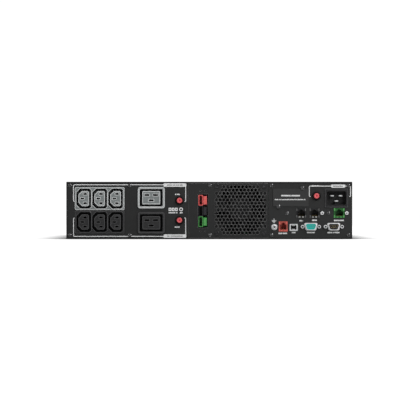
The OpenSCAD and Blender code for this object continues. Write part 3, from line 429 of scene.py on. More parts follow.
def dashes(cx, cz, width, height, seed, block=1.15):
    """A row of small blocks, of the given average width in mm, where the object has a line of print."""
    rng = random.Random(seed)
    blocks = []
    x, end = cx - width / 2, cx + width / 2
    low = cz - height / 2
    while x < end - 0.4 * MM:
        w = min(rng.uniform(0.75, 1.25) * block * MM, end - x)
        tall = height * rng.uniform(0.88, 1.0)
        blocks.append(plain_box(x, low, x + w, low + tall))
        x += w + (BLOCK_GAP if rng.random() < SAME_WORD else WORD_GAP) * MM
    return blocks


# ---------- print on the rear panel ----------

LINE = 1.15 * MM  # width of a printed line
TURN = 1.6 * MM  # how far before a corner a printed line starts to bend
HOOK = 1.8 * MM  # length of the short hook at a line's end
grey_low, grey_high = corner_low("c13_block_grey"), corner_high("c13_block_grey")
black_low = corner_low("c13_block_black")
button_up, button_low = middle("reset_button_upper"), middle("reset_button_lower")
button_in, inlet = middle("reset_button_input"), middle("inlet_socket")


def ink(name, shapes, material=WHITE_INK, level=0):
    """Print on the rear panel; each level lies on top of the one below it."""
    return slab(name, shapes, REAR + level * INK_T, INK_T, material)


def printed_line(points):
    return line_band(rounded_path(points, TURN), LINE)


def outlet_frame(name, hook_z, rail_z, label_edge):
    """One printed frame: up the left side, along the outlets, and a hook beside the breaker."""
    left = grey_low.x - 2.0 * MM
    right = button_up.x + 9.3 * MM
    first = [(left + HOOK, hook_z), (left, hook_z), (left, rail_z), (label_edge, rail_z)]
    last = [(right, rail_z), (right, hook_z), (right - HOOK, hook_z)]
    return ink(name, [printed_line(first), printed_line(last)])


LABEL_LEFT = button_up.x - 24.2 * MM
LABEL_RIGHT = button_up.x + 10.2 * MM
TOP_RAIL = grey_high.z + 3.6 * MM
LOW_RAIL = black_low.z - 4.4 * MM
outlet_frame("print_upper_frame", button_up.z - 1.6 * MM, TOP_RAIL, LABEL_LEFT)
outlet_frame("print_lower_frame", button_low.z + 3.4 * MM, LOW_RAIL, LABEL_LEFT)
LABEL_HALF = 2.6 * MM
for name, z, seed in (("upper", TOP_RAIL - 0.4 * MM, 3), ("lower", LOW_RAIL + 0.4 * MM, 5)):
    ink("label_" + name,
        [round_box(LABEL_LEFT, z - LABEL_HALF, LABEL_RIGHT, z + LABEL_HALF, 1.2 * MM)], level=1)
    ink("label_" + name + "_lines",
        dashes((LABEL_LEFT + LABEL_RIGHT) / 2, z, 24 * MM, 1.4 * MM, seed), DARK_INK, 2)

INPUT_LEFT = button_in.x - 10.8 * MM
INPUT_RIGHT = inlet.x + 21.4 * MM
INPUT_RAIL = button_in.z + 14.9 * MM
INPUT_HOOK = button_in.z - 0.9 * MM
ink("print_input_frame", [
    printed_line([(INPUT_LEFT + HOOK, INPUT_HOOK), (INPUT_LEFT, INPUT_HOOK),
                  (INPUT_LEFT, INPUT_RAIL), (inlet.x - 8 * MM, INPUT_RAIL)]),
    printed_line([(inlet.x + 13 * MM, INPUT_RAIL), (INPUT_RIGHT, INPUT_RAIL),
                  (INPUT_RIGHT, INPUT_HOOK), (INPUT_RIGHT - HOOK, INPUT_HOOK)])])
ink("print_input_note",
    dashes(button_in.x - 1.6 * MM, INPUT_RAIL + 0.3 * MM, 10.5 * MM, 1.9 * MM, 8), level=1)
ink("label_input", [round_box(inlet.x - 8.2 * MM, INPUT_RAIL - 2.5 * MM,
                              inlet.x + 13.4 * MM, INPUT_RAIL + 2.4 * MM, 2.2 * MM)], level=1)
ink("label_input_lines", dashes(inlet.x + 2.6 * MM, INPUT_RAIL, 15 * MM, 1.5 * MM, 9), DARK_INK, 2)

# Reset marks beside the two outlet breakers
ink("print_reset_marks",
    dashes(button_up.x - 3.1 * MM, button_up.z + 9.3 * MM, 7.4 * MM, 2.0 * MM, 11, 1.8)
    + dashes(button_low.x - 3.6 * MM, button_low.z - 10.3 * MM, 7.4 * MM, 2.0 * MM, 12, 1.8))


def icon_group():
    """Three small boxes and a ring between the breakers, with a line of greeked print below them."""
    z0 = (button_up.z + button_low.z) / 2 - 1.0 * MM
    z1 = z0 + 5.0 * MM
    x = button_up.x - 16.6 * MM
    lefts = [x + i * 4.8 * MM for i in range(3)]
    shapes = [round_box(left, z0, left + 4.3 * MM, z1, 0.8 * MM) for left in lefts]
    shapes.append(ring(button_up.x + 2.3 * MM, (z0 + z1) / 2, 2.9 * MM, 1.5 * MM))
    shapes += dashes(x + 7 * MM, z0 - 2.5 * MM, 14 * MM, 2.0 * MM, 21)
    shapes += dashes(button_up.x + 2.6 * MM, z0 - 2.5 * MM, 4.4 * MM, 2.0 * MM, 22)
    ink("print_icons", shapes)
    cuts = [round_box(left + 1.5 * MM, z0 + 1.4 * MM, left + 2.8 * MM, z1 - 1.4 * MM, 0.3 * MM)
            for left in lefts]
    ink("print_icon_cuts", cuts, DARK_INK, 1)


icon_group()

# Expansion slot print, port labels, port icons and the ground symbol
slot_mid = middle("slot_cover")
SLOT_FACE = -corner_low("slot_cover").y
slab("print_slot_title", dashes(slot_mid.x - 0.4 * MM, slot_mid.z + 2.6 * MM, 28.5 * MM, 2.4 * MM, 31, 1.5),
     SLOT_FACE, INK_T, WHITE_INK)
slab("print_slot_note", dashes(slot_mid.x - 0.8 * MM, slot_mid.z - 3.4 * MM, 47 * MM, 1.6 * MM, 32),
     SLOT_FACE, INK_T, WHITE_INK)

jack_low, jack_high = corner_low("network_jacks"), corner_high("network_jacks")
JACK_W = 15.0 * MM
jack_left_x, jack_right_x = jack_low.x + JACK_W / 2, jack_high.x - JACK_W / 2
# Middle of each label, and its width in mm
port_labels = {
    "left_jack": (jack_left_x, jack_low.z - 4.4 * MM, 5.2),
    "right_jack": (jack_right_x, jack_low.z - 3.7 * MM, 7.6),
    "contact_jack": (middle("contact_jack").x - 0.4 * MM, jack_low.z - 3.9 * MM, 15.0),
    "power_off": (middle("epo_jack").x - 0.5 * MM, corner_low("epo_jack").z - 2.7 * MM, 13.0),
    "usb": (middle("usb_port").x, corner_low("usb_port").z - 2.4 * MM, 5.4),
    "serial_left": (middle("serial_insert_cyan").x, middle("serial_insert_cyan").z - 8.7 * MM, 11.5),
    "serial_right": (middle("serial_insert_black").x, middle("serial_insert_black").z - 8.7 * MM, 19.0),
}
for seed, (name, (x, z, width)) in enumerate(port_labels.items()):
    ink("print_" + name, dashes(x, z, width * MM, 2.2 * MM, 40 + seed))


def port_icon(name, cx, cz):
    """A five-sided outline with a block in it."""
    r = 3.0 * MM
    corners = [(cx + r * math.sin(math.radians(72 * i)), cz + r * math.cos(math.radians(72 * i)))
               for i in range(5)]
    ink(name, [corners])
    ink(name + "_cut", [round_box(cx - 1.1 * MM, cz - 1.3 * MM, cx + 1.1 * MM, cz + 0.6 * MM, 0.3 * MM)],
        DARK_INK, 1)


port_icon("print_jack_icon", jack_high.x + 4.2 * MM, middle("network_jacks").z)
port_icon("print_contact_icon", corner_high("contact_jack").x + 3.4 * MM, middle("contact_jack").z)


def ground_symbol():
    """The usual three bars under a stem."""
    at = middle("ground_screw")
    x, z = at.x - 0.4 * MM, at.z + 6.6 * MM
    bar_t, stem_half = 0.75 * MM, 0.4 * MM
    shapes = [plain_box(x - half * MM, z + up * MM, x + half * MM, z + up * MM + bar_t)
              for half, up in ((3.4, 2.6), (2.3, 1.3), (1.1, 0.0))]
    shapes.append(plain_box(x - stem_half, z + 3.35 * MM, x + stem_half, z + 6.4 * MM))
    ink("print_ground", shapes)


ground_symbol()


# ---------- outlets ----------

FLANGE_STEP = 0.7 * MM  # how far the flanges stand behind the faces
SMALL_PITCH = 24.1 * MM
SMALL_BLOCK = (75.3 * MM, 34.6 * MM)
SMALL_GROOVE = (22.0 * MM, 30.1 * MM)
SMALL_ISLAND = (16.2 * MM, 23.2 * MM)
GROOVE_CUT, ISLAND_CUT = 0.27, 0.34  # cut of the left corners, as a share of the width
# Slots: place of the middle, width and height in mm
SMALL_SLOTS = [(-2.05, 0, 4.8, 1.8), (2.05, 7, 4.6, 2.2), (2.05, -7, 4.6, 2.2)]
LARGE_FLANGE = (41.4 * MM, 32.9 * MM)
LARGE_GROOVE = (34.8 * MM, 26.3 * MM)
LARGE_ISLAND = (27.3 * MM, 20.3 * MM)
LARGE_SLOTS = [(0, -4, 6.8, 2.2), (-6.5, 4, 6.8, 2.2), (6.5, 4, 6.8, 2.2)]


def small_outline(cx, cz, size, grow, cut=GROOVE_CUT):
    """The outline of a small outlet's groove or island, grown on every side."""
    w, h = size
    return cut_rect(cx, cz, w + 2 * grow, h + 2 * grow, cut * w + 0.59 * grow, 0.11 * w + 0.59 * grow)


def slot_collars(cx, cz, slots, outer=2.2, inner=0.6):
    """A narrow band round each slot, from one growth of its sides in mm to another."""
    return [tuple(round_rect(cx + x * MM, cz + z * MM, (w + grow) * MM, (h + grow) * MM, 0.3 * MM)
                  for grow in (outer, inner)) for x, z, w, h in slots]


def border(at, size, outer, inner, r):
    """A round-cornered band between two distances inside a rectangle's edge."""
    w, h = size
    return (round_rect(at.x, at.z, w - 2 * outer, h - 2 * outer, r),
            round_rect(at.x, at.z, w - 2 * inner, h - 2 * inner, max(0.3 * MM, r - inner + outer)))


def paint_rim_highlights(colour, material):
    """Painted highlights: lighter films on the rims round the grooves, the islands, the slots and the flanges
    of one row of outlets.
    """
    small = middle("c13_block_" + colour)
    large = middle("c19_outlet_" + colour)
    face = -corner_low("c13_block_" + colour).y
    raised = []
    for step in (-1, 0, 1):
        x = small.x + step * SMALL_PITCH
        raised.append((small_outline(x, small.z, SMALL_GROOVE, 1.0 * MM),
                       small_outline(x, small.z, SMALL_GROOVE, 0.15 * MM)))
        raised.append((small_outline(x, small.z, SMALL_ISLAND, -0.15 * MM, ISLAND_CUT),
                       small_outline(x, small.z, SMALL_ISLAND, -1.3 * MM, ISLAND_CUT)))
        raised += slot_collars(x, small.z, SMALL_SLOTS)
    raised.append(border(large, LARGE_FLANGE, 0.5 * MM, 1.9 * MM, 3.4 * MM))
    raised.append(border(large, LARGE_ISLAND, 0.2 * MM, 1.3 * MM, 1.4 * MM))
    raised += slot_collars(large.x, large.z, LARGE_SLOTS)
    slab("outlet_rim_highlights_" + colour, raised, face, FILM_T, material)
    lower = [border(small, SMALL_BLOCK, 0.15 * MM, 0.95 * MM, 1.8 * MM),
             border(large, LARGE_FLANGE, 2.15 * MM, 3.2 * MM, 2.2 * MM)]
    slab("outlet_flange_highlights_" + colour, lower, face - FLANGE_STEP, FILM_T, material)


def paint_groove_and_slot_shade(colour):
    """Painted shade: black bands down the walls of one row's grooves and slots, and black edges round its
    slots.
    """
    small, large = middle("c13_block_" + colour), middle("c19_outlet_" + colour)
    face = -corner_low("c13_block_" + colour).y
    grooves, slots, edges = [], [], []
    for step in (-1, 0, 1):
        x = small.x + step * SMALL_PITCH
        for size, outer, inner, cut in ((SMALL_GROOVE, -0.03, -0.3, GROOVE_CUT),
                                        (SMALL_ISLAND, 0.3, 0.03, ISLAND_CUT)):
            grooves.append(tuple(small_outline(x, small.z, size, grow * MM, cut) for grow in (outer, inner)))
        slots += slot_collars(x, small.z, SMALL_SLOTS, -0.06, -0.3)
        edges += slot_collars(x, small.z, SMALL_SLOTS, 0.5, -0.1)
    grooves.append(border(large, LARGE_GROOVE, 0.03 * MM, 0.3 * MM, 1.9 * MM))
    grooves.append(border(large, LARGE_ISLAND, -0.3 * MM, -0.03 * MM, 1.8 * MM))
    slots += slot_collars(large.x, large.z, LARGE_SLOTS, -0.06, -0.3)
    edges += slot_collars(large.x, large.z, LARGE_SLOTS, 0.5, -0.1)
    slab("slot_edge_shade_" + colour, edges, face, 0.03 * MM, SHADE_AND_BLACK_PLASTIC)
    for name, shapes, depth, height in (("groove", grooves, 14 * MM, 13.3 * MM),
                                        ("slot", slots, 11 * MM, 10.5 * MM)):
        slab(name + "_shade_bands_" + colour, shapes, face - depth, height, SHADE_AND_BLACK_PLASTIC)


# Painted highlights on both rows of outlets
paint_rim_highlights("grey", PALE_RIM_HIGHLIGHT)
paint_rim_highlights("black", DARK_RIM_HIGHLIGHT)
# Painted shade in both rows' grooves and slots
paint_groove_and_slot_shade("grey")
paint_groove_and_slot_shade("black")


# ---------- breakers and ports ----------

for name in ("upper", "lower", "input"):
    at = middle("reset_button_" + name)
    end = -corner_low("reset_button_" + name).y
    # Painted shade on the floor of the dimple
    slab("reset_dimple_shade_" + name, [circle(at.x, at.z, 1.4 * MM)], end - 0.5 * MM, 0.06 * MM, DIMPLE_SHADE,
         body=name + "_breaker_button")


def battery_connector(colour, rim, inside):
    """Painted highlights on the shroud's rim and the tongue's face, and painted shade down the inside of the
    shroud, of one housing of the battery connector.
    """
    node = "dc_housing_" + colour
    low, high = corner_low(node), corner_high(node)
    face = -low.y
    shroud_w, wall = 6.9 * MM, 1.1 * MM
    shroud = Vector((low.x + shroud_w / 2, 0, (low.z + high.z) / 2))
    size = (shroud_w, high.z - low.z)
    tongue_x = high.x - 0.7 * MM - 2.65 * MM
    slab("dc_rim_highlight_" + colour, [border(shroud, size, 0.2 * MM, wall - 0.1 * MM, 0.4 * MM),
                              round_rect(tongue_x, shroud.z, 3.9 * MM, 11 * MM, 0.5 * MM)],
         face, FILM_T, rim)
    slab("dc_cavity_shade_" + colour, [border(shroud, size, wall + 0.05 * MM, wall + 0.4 * MM, 0.3 * MM)],
         face - 13 * MM, 12.6 * MM, inside)


def key_hole_shade():
    """Painted shade: dark bottoms of the four small holes above and below the battery connector."""
    low, high = corner_low("dc_housing_green"), corner_high("dc_housing_red")
    x, z = (low.x + high.x) / 2, (low.z + high.z) / 2
    aside, above = 3.7 * MM, 30.5 * MM
    holes = [circle(x + sx * aside, z + sz * above, 1.05 * MM) for sx in (-1, 1) for sz in (-1, 1)]
    slab("key_hole_shade", holes, REAR - 0.6 * MM, 0.5 * MM, SHADE_AND_BLACK_PLASTIC)


key_hole_shade()
battery_connector("red", PALE_RED, RED_SHADE)
battery_connector("black", BLACK_RIM_HIGHLIGHT, SHADE_AND_BLACK_PLASTIC)
battery_connector("green", PALE_GREEN, GREEN_SHADE)


def jack_face(name, at, size, cavity_w, material, window):
    """Painted highlights on the corners of a jack's face, and two windows in the lip under its opening. Sizes
    are in mm.
    """
    w, h = size[0] / 2 * MM, size[1] / 2 * MM
    face = -corner_low("network_jacks").y
    edge = 0.3 * MM
    pads, windows = [], []
    for sx in (-1, 1):
        for sz in (-1, 1):
            x0, x1 = sorted((at.x + sx * (w - edge), at.x + sx * (cavity_w / 2 + 0.2) * MM))
            z0, z1 = sorted((at.z + sz * (h - edge), at.z + sz * (h - 4 * MM)))
            pads.append(round_box(x0, z0, x1, z1, 0.3 * MM))
        windows.append(round_rect(at.x + sx * 2.5 * MM, at.z - h + edge + 0.9 * MM,
                                  2.6 * MM, 1.3 * MM, 0.3 * MM))
    slab(name, pads, face, FILM_T, material)
    slab(name + "_windows", windows, face, FILM_T, window)


WIDE_CAVITY, NARROW_CAVITY = 11.7, 9.6  # widths in mm of the jacks' openings
network_mid, contact_mid, power_off_mid = middle("network_jacks"), middle("contact_jack"), middle("epo_jack")
for name, x in (("jack_face_left", jack_left_x), ("jack_face_right", jack_right_x)):
    jack_face(name, Vector((x, 0, network_mid.z)), (15.0, 14.4), WIDE_CAVITY, JACK_CORNER_HIGHLIGHT, PALE_WINDOW)
jack_face("jack_face_contact", contact_mid, (16.5, 14.7), WIDE_CAVITY, PALE_GREEN, PALE_GREEN)
jack_face("jack_face_power_off", power_off_mid, (13.3, 15.5), NARROW_CAVITY, PALE_RED, PALE_RED)


def jack_wires(name, cx, cavity_low_z, count):
    """The row of sprung gold wires that rises from a jack's floor."""
    pitch, width, thickness = 1.02 * MM, 0.45 * MM, 0.3 * MM
    y = -REAR + 0.5 * MM
    mouth = (y, cavity_low_z + 0.25 * MM)
    bend = (y + 1.6 * MM, cavity_low_z + 0.45 * MM)
    end = (y + 9 * MM, cavity_low_z + 3.6 * MM)
    bm = bmesh.new()
    for i in range(count):
        x = cx + (i - (count - 1) / 2) * pitch
        strip(bm, x, mouth, bend, width, thickness)
        strip(bm, x, bend, end, width, thickness)
    add_piece(name, bm, GOLD)


CAVITY_DROP = 4.5 * MM  # from the middle of a jack to the floor of its opening
POWER_OFF_DROP = 4.6 * MM
jack_wires("jack_wires_left", jack_left_x, network_mid.z - CAVITY_DROP, 8)
jack_wires("jack_wires_right", jack_right_x, network_mid.z - CAVITY_DROP, 8)
jack_wires("jack_wires_contact", contact_mid.x, contact_mid.z - CAVITY_DROP, 8)
jack_wires("jack_wires_power_off", power_off_mid.x, power_off_mid.z - POWER_OFF_DROP, 4)


def inlet_rim_highlight():
    """Painted highlights: lighter edges on the flange of the power inlet."""
    face = -corner_low("inlet_socket").y
    flange = (35.5 * MM, 28.8 * MM)
    slab("inlet_rim_highlight", [border(inlet, flange, 0.3 * MM, 1.2 * MM, 1.2 * MM)], face - 0.9 * MM, FILM_T,
         DARK_RIM_HIGHLIGHT)


inlet_rim_highlight()


def usb_inside():
    """Black sleeve on the port's tongue, side walls and back darkened as painted shade, and bright springs
    above and below.
    """
    at = middle("usb_port")
    face = -corner_low("usb_port").y
    depth = 8.4 * MM
    sleeve_l = 6 * MM
    back = (cut_rect(at.x, at.z, 8.4 * MM, 7.7 * MM, 1.2 * MM, 1.2 * MM),
            cut_rect(at.x, at.z, 5.7 * MM, 3.3 * MM, 0.1 * MM, 0.1 * MM))
    sleeve_outer = round_rect(at.x, at.z, 5.9 * MM, 3.5 * MM, 0.4 * MM)
    sleeve_inner = round_rect(at.x, at.z, 5.64 * MM, 3.24 * MM, 0.3 * MM)
    bm = bmesh.new()
    extrude(bm, back, face - depth - 0.3 * MM, 0.3 * MM)
    for side in (-1, 1):
        extrude(bm, round_rect(at.x + side * 4.0 * MM, at.z, 0.4 * MM, 5.2 * MM, 0.1 * MM),
                face - depth, depth - 0.3 * MM)
    extrude(bm, (sleeve_outer, sleeve_inner), face - sleeve_l, sleeve_l)
    extrude(bm, sleeve_outer, face, 0.15 * MM)
    add_piece("usb_tongue_and_shade", bm, SHADE_AND_BLACK_PLASTIC)
    springs = [round_rect(at.x, at.z + z * MM, 4.6 * MM, 1.0 * MM, 0.2 * MM) for z in (-2.9, 2.9)]
    slab("usb_springs", springs, face - 7 * MM, 5.8 * MM, TIN)


usb_inside()


def serial_contacts():
    """Gold sleeves a little inside the nine holes of each serial insert."""
    pitch = 2.75 * MM
    rings = []
    for node in ("serial_insert_cyan", "serial_insert_black"):
        at = middle(node)
        for count, z in ((5, 1.4), (4, -1.4)):
            for i in range(count):
                rings.append(ring(at.x + (i - (count - 1) / 2) * pitch, at.z + z * MM,
                                  0.58 * MM, 0.36 * MM, 12))
    face = -corner_low("serial_insert_cyan").y
    slab("serial_sleeves", rings, face - 3 * MM, 2.6 * MM, GOLD)


serial_contacts()


def d_outline(at, w, h):
    """The D shape of a serial port, leaning in towards its bottom."""
    w, h, lean, cut = w / 2, h / 2, 1.6, 1.6
    corners = [(lean + cut - w, -h), (w - lean - cut, -h), (w - lean, cut - h), (w, h - cut),
               (w - cut, h), (cut - w, h), (-w, h - cut), (lean - w, cut - h)]
    return [(at.x + x * MM, at.z + z * MM) for x, z in corners]


def serial_rims():
    """Bright tin-plated faces on the two serial shells and on their roots."""
    cyan, black = middle("serial_insert_cyan"), middle("serial_insert_black")
    face = -corner_low("serial_shells").y
    slab("serial_rims", [(d_outline(at, 16.8, 9.8), d_outline(at, 15.5, 8.7)) for at in (cyan, black)],
         face, FILM_T, TIN)
    slab("serial_root_rims", [(d_outline(at, 19.5, 11.1), d_outline(at, 17.2, 10.2)) for at in (cyan, black)],
         face - 4 * MM, FILM_T, TIN)


def ground_recess_shade():
    """Painted shade: a dark bottom in the ground screw's cross recess."""
    at = middle("ground_screw")
    face = -corner_low("ground_screw").y
    far, near = 2.25 * MM, 0.45 * MM  # half the length and half the width of an arm
    arm = [(far, -near), (far, near), (near, near)]
    cross = []
    for _ in range(4):
        cross += arm
        arm = [(-v, u) for u, v in arm]
    turned = [(at.x + (u - v) * math.sqrt(0.5), at.z + (u + v) * math.sqrt(0.5)) for u, v in cross]
    slab("ground_recess_shade", [turned], face - 1.35 * MM, 0.9 * MM, SHADE_AND_BLACK_PLASTIC)


serial_rims()
ground_recess_shade()


def jackscrew_bore_shade():
    """Painted shade: dark bottoms and dark thread turns inside the four jackscrew bores."""
    low, high = corner_low("jackscrews"), corner_high("jackscrews")
    reach = 2.75 * MM
    pitch = 25 * MM
    z = (low.z + high.z) / 2
    face = -low.y
    xs = [low.x + reach, low.x + reach + pitch, high.x - reach - pitch, high.x - reach]
    bm = bmesh.new()
    for x in xs:
        extrude(bm, circle(x, z, 1.36 * MM), face - 3.4 * MM, 0.2 * MM)
        for turn in range(4):
            extrude(bm, ring(x, z, 1.38 * MM, 1.15 * MM), face - (2.9 - 0.7 * turn) * MM, 0.3 * MM)
    add_piece("jackscrew_bore_shade", bm, SHADE_AND_BLACK_PLASTIC)


jackscrew_bore_shade()


# ---------- front ----------

def display_content():
    """An LCD behind the window: a dark mask, pale glass, two columns of bars, a numeral and a frame."""
    lens = middle("display_lens")
    inner = corner_low("display_lens").y
    x, z = lens.x, lens.z
    mask = (round_rect(x, z, 77 * MM, 39 * MM, 1.0 * MM), round_rect(x, z, 62 * MM, 29 * MM, 1.5 * MM))
    slab("lens_mask", [mask], inner - 0.06 * MM, 0.06 * MM, DARK_INK, side="front")
    slab("lcd_glass", [round_rect(x, z, 66 * MM, 32 * MM, 0.5 * MM)], inner - 1.0 * MM, 0.5 * MM,
         LCD_GLASS, side="front")
    shapes = []
    for side in (-1, 1):
        for i in range(5):
            outer_x = x + side * 28 * MM
            x0, x1 = sorted((outer_x, outer_x - side * (4.5 + 1.1 * i) * MM))
            low = z + (4.2 * i - 11) * MM
            shapes.append(round_box(x0, low, x1, low + 3 * MM, 0.4 * MM))
    # Seen from the front, +X is at the left
    for i, digit in enumerate((2, 3, 0)):
        shapes += seven_segments(x + 12.5 * (1 - i) * MM, z + 2 * MM, digit)
    shapes.append((round_rect(x, z - 10 * MM, 14 * MM, 3.4 * MM, 0.6 * MM),
                   round_rect(x, z - 10 * MM, 12.8 * MM, 2.2 * MM, 0.3 * MM)))
    slab("lcd_segments", shapes, inner - 0.5 * MM, FILM_T, DARK_INK, side="front")


def seven_segments(cx, cz, digit):
    """The dark bars of one digit, 9.7 mm wide and 17.7 mm tall, seen from the front."""
    dark = {0: "abcdef", 2: "abdeg", 3: "abcdg"}[digit]
    level, tall = (6.0, 1.7), (1.7, 6.3)
    places = {"a": (0, 8, level), "g": (0, 0, level), "d": (0, -8, level),
              "b": (-4, 4, tall), "c": (-4, -4, tall), "f": (4, 4, tall), "e": (4, -4, tall)}
    return [round_rect(cx + x * MM, cz + z * MM, w * MM, h * MM, 0.4 * MM)
            for x, z, (w, h) in (places[s] for s in dark)]


display_content()


def key_marks():
    """A power sign, a down arrow and a return arrow on the three keys."""
    top = corner_high("power_button").y
    at = middle("power_button")
    open_ring = line_band(arc(at.x, at.z - 0.3 * MM, 2.9 * MM, 125, 415, 16), 0.7 * MM)
    bar = round_rect(at.x, at.z + 2.0 * MM, 0.7 * MM, 3.6 * MM, 0.3 * MM)
    slab("power_mark", [open_ring, bar], top, INK_T, DARK_INK, side="front", body="power_key")
    at = middle("scroll_key")
    arrow = [(at.x - 2.0 * MM, at.z + 1.2 * MM), (at.x, at.z - 1.8 * MM), (at.x + 2.0 * MM, at.z + 1.2 * MM)]
    slab("scroll_mark", [arrow], top, INK_T, DARK_INK, side="front", body="scroll_key")
    at = middle("enter_key")
    bend = line_band([(at.x - 1.8 * MM, at.z + 1.8 * MM), (at.x - 1.8 * MM, at.z - 0.6 * MM),
                      (at.x + 0.6 * MM, at.z - 0.6 * MM)], 0.6 * MM)
    head = [(at.x + 0.7 * MM, at.z - 1.9 * MM), (at.x + 2.3 * MM, at.z - 0.6 * MM),
            (at.x + 0.7 * MM, at.z + 0.7 * MM)]
    slab("enter_mark", [bend, head], top, INK_T, DARK_INK, side="front", body="enter_key")


key_marks()

key_mid = middle("power_button")
leds = [round_rect(key_mid.x + x * MM, key_mid.z + 12.2 * MM, 6 * MM, 1.8 * MM, 0.85 * MM)
        for x in (-24, 0, 24)]
slab("led_windows", leds, FRONT - 0.05 * MM, 0.3 * MM, LED_LENS, side="front")

door_low, door_high = corner_low("battery_door"), corner_high("battery_door")
SIDE_ROOM, END_ROOM = 5 * MM, 4.5 * MM  # between the dust filter and the door's edges
slab("dust_filter", [round_box(door_low.x + SIDE_ROOM, door_low.z + END_ROOM,
                               door_high.x - SIDE_ROOM, door_high.z - END_ROOM, 2 * MM)],
     FRONT - 5.6 * MM, 2.4 * MM, FOAM, side="front", body="front_door")


# ---------- labels ----------

def rating_label():
    """A blank rating label on the right side, with greeked lines."""
    y, z = 85 * MM, middle("chassis_tray").z
    paper_t = 0.1 * MM
    slab("rating_label", [round_rect(y, z, 90 * MM, 42 * MM, 2 * MM)], RIGHT, paper_t, LABEL_PAPER,
         side="right")
    lines = [round_rect(y - 18 * MM, z + 14 * MM, 44 * MM, 5 * MM, 0.5 * MM)]
    column = 78  # width in mm of the space for print; every line starts at its left
    for i, width in enumerate((74, 62, 70, 48)):
        lines += dashes(y - (column - width) / 2 * MM, z + (6 - 6 * i) * MM, width * MM, 2.4 * MM,
                        60 + i, 1.6)
    slab("rating_label_lines", lines, RIGHT + paper_t, 0.04 * MM, DARK_INK, side="right")


rating_label()


def battery_labels():
    """A blank label with a stripe on each battery block, seen through the lid's windows."""
    low, high = corner_low("batteries"), corner_high("batteries")
    labels, stripes = [], []
    for column in range(3):
        for row in range(2):
            x = low.x + (high.x - low.x) * (2 * column + 1) / 6 - 1.5 * MM
            y = low.y + (high.y - low.y) * (2 * row + 1) / 4
            labels.append(round_rect(x, y, 52 * MM, 84 * MM, 2 * MM))
            stripes.append(round_rect(x, y + 30 * MM, 46 * MM, 12 * MM, 1 * MM))
    slab("battery_labels", labels, high.z, 0.04 * MM, LABEL_PAPER, side="top", body="battery_module")
    slab("battery_stripes", stripes, high.z + 0.04 * MM, 0.02 * MM, BATTERY_STRIPE, side="top",
         body="battery_module")


battery_labels()


# ---------- camera, floor and light ----------

LENS = 200.0
SENSOR = 36.0
VIEW_SPAN = 0.6359  # width of the view at the rear panel
AIM = Vector((0.0011, -REAR, 0.0438))
LIGHT_AIM = Vector((0, 0, 0.04))
BACKDROP = 1.05  # brightness of the surroundings in the picture, a little over white
SKY_LOW = 0.08  # brightness of the white surroundings as light, near the horizon
SKY_HIGH = 0.5  # and straight up
FLOOR_MATT = 0.35  # the floor's lit white in the picture
FLOOR_GLOW = 0.91  # and its own glow, so that it meets the white behind it
CONTACT_REACH = 0.06  # metres that the shade beside the case reaches over the floor
CONTACT_DARK = 0.12  # the floor's share of its white right beside the case
FLOOR_BOUNCE = 0.6  # the floor's white as the object sees it


def add_camera():
    camera = bpy.data.objects.new("camera", bpy.data.cameras.new("camera"))
    bpy.context.scene.collection.objects.link(camera)
    camera.data.lens = LENS
    camera.data.sensor_width = SENSOR
    camera.data.clip_end = 100
    camera.location = AIM - Vector((0, VIEW_SPAN * LENS / SENSOR, 0))
    camera.rotation_euler = (math.radians(90), 0, 0)
    bpy.context.scene.camera = camera


def picture_or_light(tree, in_picture, as_light):
    """A value for what the picture shows and another for the light that it gives."""
    path = tree.nodes.new("ShaderNodeLightPath")
    chosen = tree.nodes.new("ShaderNodeMapRange")
    tree.links.new(path.outputs["Is Camera Ray"], chosen.inputs["Value"])
    for socket, value in (("To Max", in_picture), ("To Min", as_light)):
        if isinstance(value, bpy.types.NodeSocket):
            tree.links.new(value, chosen.inputs[socket])
        else:
            chosen.inputs[socket].default_value = value
    return chosen.outputs["Result"]


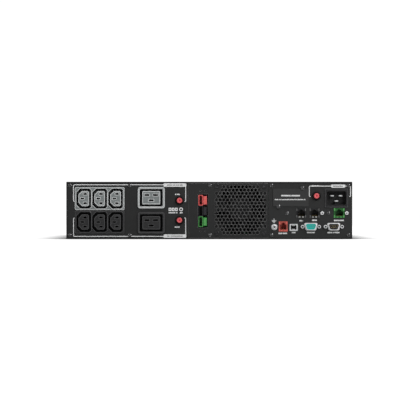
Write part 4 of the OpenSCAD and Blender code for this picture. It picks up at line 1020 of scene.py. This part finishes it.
def floor_paint():
    """White studio floor, lit from below in the picture, with a soft shade beside whatever stands on it."""
    material = bpy.data.materials.new("floor_paint")
    material.use_nodes = True
    tree = material.node_tree
    tree.nodes.clear()
    output = tree.nodes.new("ShaderNodeOutputMaterial")
    matt = tree.nodes.new("ShaderNodeBsdfDiffuse")
    glow = tree.nodes.new("ShaderNodeEmission")
    both = tree.nodes.new("ShaderNodeAddShader")
    near = tree.nodes.new("ShaderNodeAmbientOcclusion")
    near.inputs["Distance"].default_value = CONTACT_REACH

    def shaded(white):
        """A white that falls to a share of itself where something stands close."""
        share = tree.nodes.new("ShaderNodeMapRange")
        share.inputs["From Min"].default_value = 0.5
        share.inputs["To Min"].default_value = CONTACT_DARK * white
        share.inputs["To Max"].default_value = white
        tree.links.new(near.outputs["AO"], share.inputs["Value"])
        return share.outputs["Result"]

    tree.links.new(picture_or_light(tree, shaded(FLOOR_MATT), FLOOR_BOUNCE), matt.inputs["Color"])
    tree.links.new(picture_or_light(tree, shaded(FLOOR_GLOW), 0.0), glow.inputs["Strength"])
    tree.links.new(matt.outputs["BSDF"], both.inputs[0])
    tree.links.new(glow.outputs["Emission"], both.inputs[1])
    tree.links.new(both.outputs["Shader"], output.inputs["Surface"])
    return material


def add_floor():
    bm = bmesh.new()
    bmesh.ops.create_circle(bm, cap_ends=True, segments=96, radius=60)
    mesh = bpy.data.meshes.new("floor")
    bm.to_mesh(mesh)
    bm.free()
    mesh.materials.append(floor_paint())
    floor = bpy.data.objects.new("floor", mesh)
    bpy.context.scene.collection.objects.link(floor)
    floor.location.z = -0.3 * MM


def add_light(name, place, size, power, roll=0.0):
    data = bpy.data.lights.new(name, "AREA")
    data.shape = "RECTANGLE"
    data.size, data.size_y = size
    data.energy = power
    light = bpy.data.objects.new(name, data)
    bpy.context.scene.collection.objects.link(light)
    light.location = place
    turn = (LIGHT_AIM - Vector(place)).to_track_quat("-Z", "Y")
    light.rotation_euler = (turn @ Quaternion((0, 0, 1), math.radians(roll))).to_euler()


def add_world():
    """White surroundings that shine more from above than from the sides."""
    world = bpy.data.worlds.new("studio")
    world.use_nodes = True
    tree = world.node_tree
    background = tree.nodes["Background"]
    background.inputs["Color"].default_value = (1, 1, 1, 1)
    place = tree.nodes.new("ShaderNodeTexCoord")
    split = tree.nodes.new("ShaderNodeSeparateXYZ")
    sky = tree.nodes.new("ShaderNodeMapRange")
    sky.inputs["To Min"].default_value = SKY_LOW
    sky.inputs["To Max"].default_value = SKY_HIGH
    tree.links.new(place.outputs["Generated"], split.inputs["Vector"])
    tree.links.new(split.outputs["Z"], sky.inputs["Value"])
    tree.links.new(picture_or_light(tree, BACKDROP, sky.outputs["Result"]), background.inputs["Strength"])
    bpy.context.scene.world = world
    bpy.context.scene.view_settings.view_transform = "Standard"


add_camera()
add_floor()
add_world()
# Name, place and size in metres, power in watts
add_light("key_rear", (1.3, -2.1, 1.35), (2.4, 0.25), 33, roll=45)
add_light("fill_rear", (-1.5, -2.2, 0.9), (1.0, 1.0), 5)
add_light("key_front", (0.9, 2.2, 1.5), (1.6, 1.0), 24)
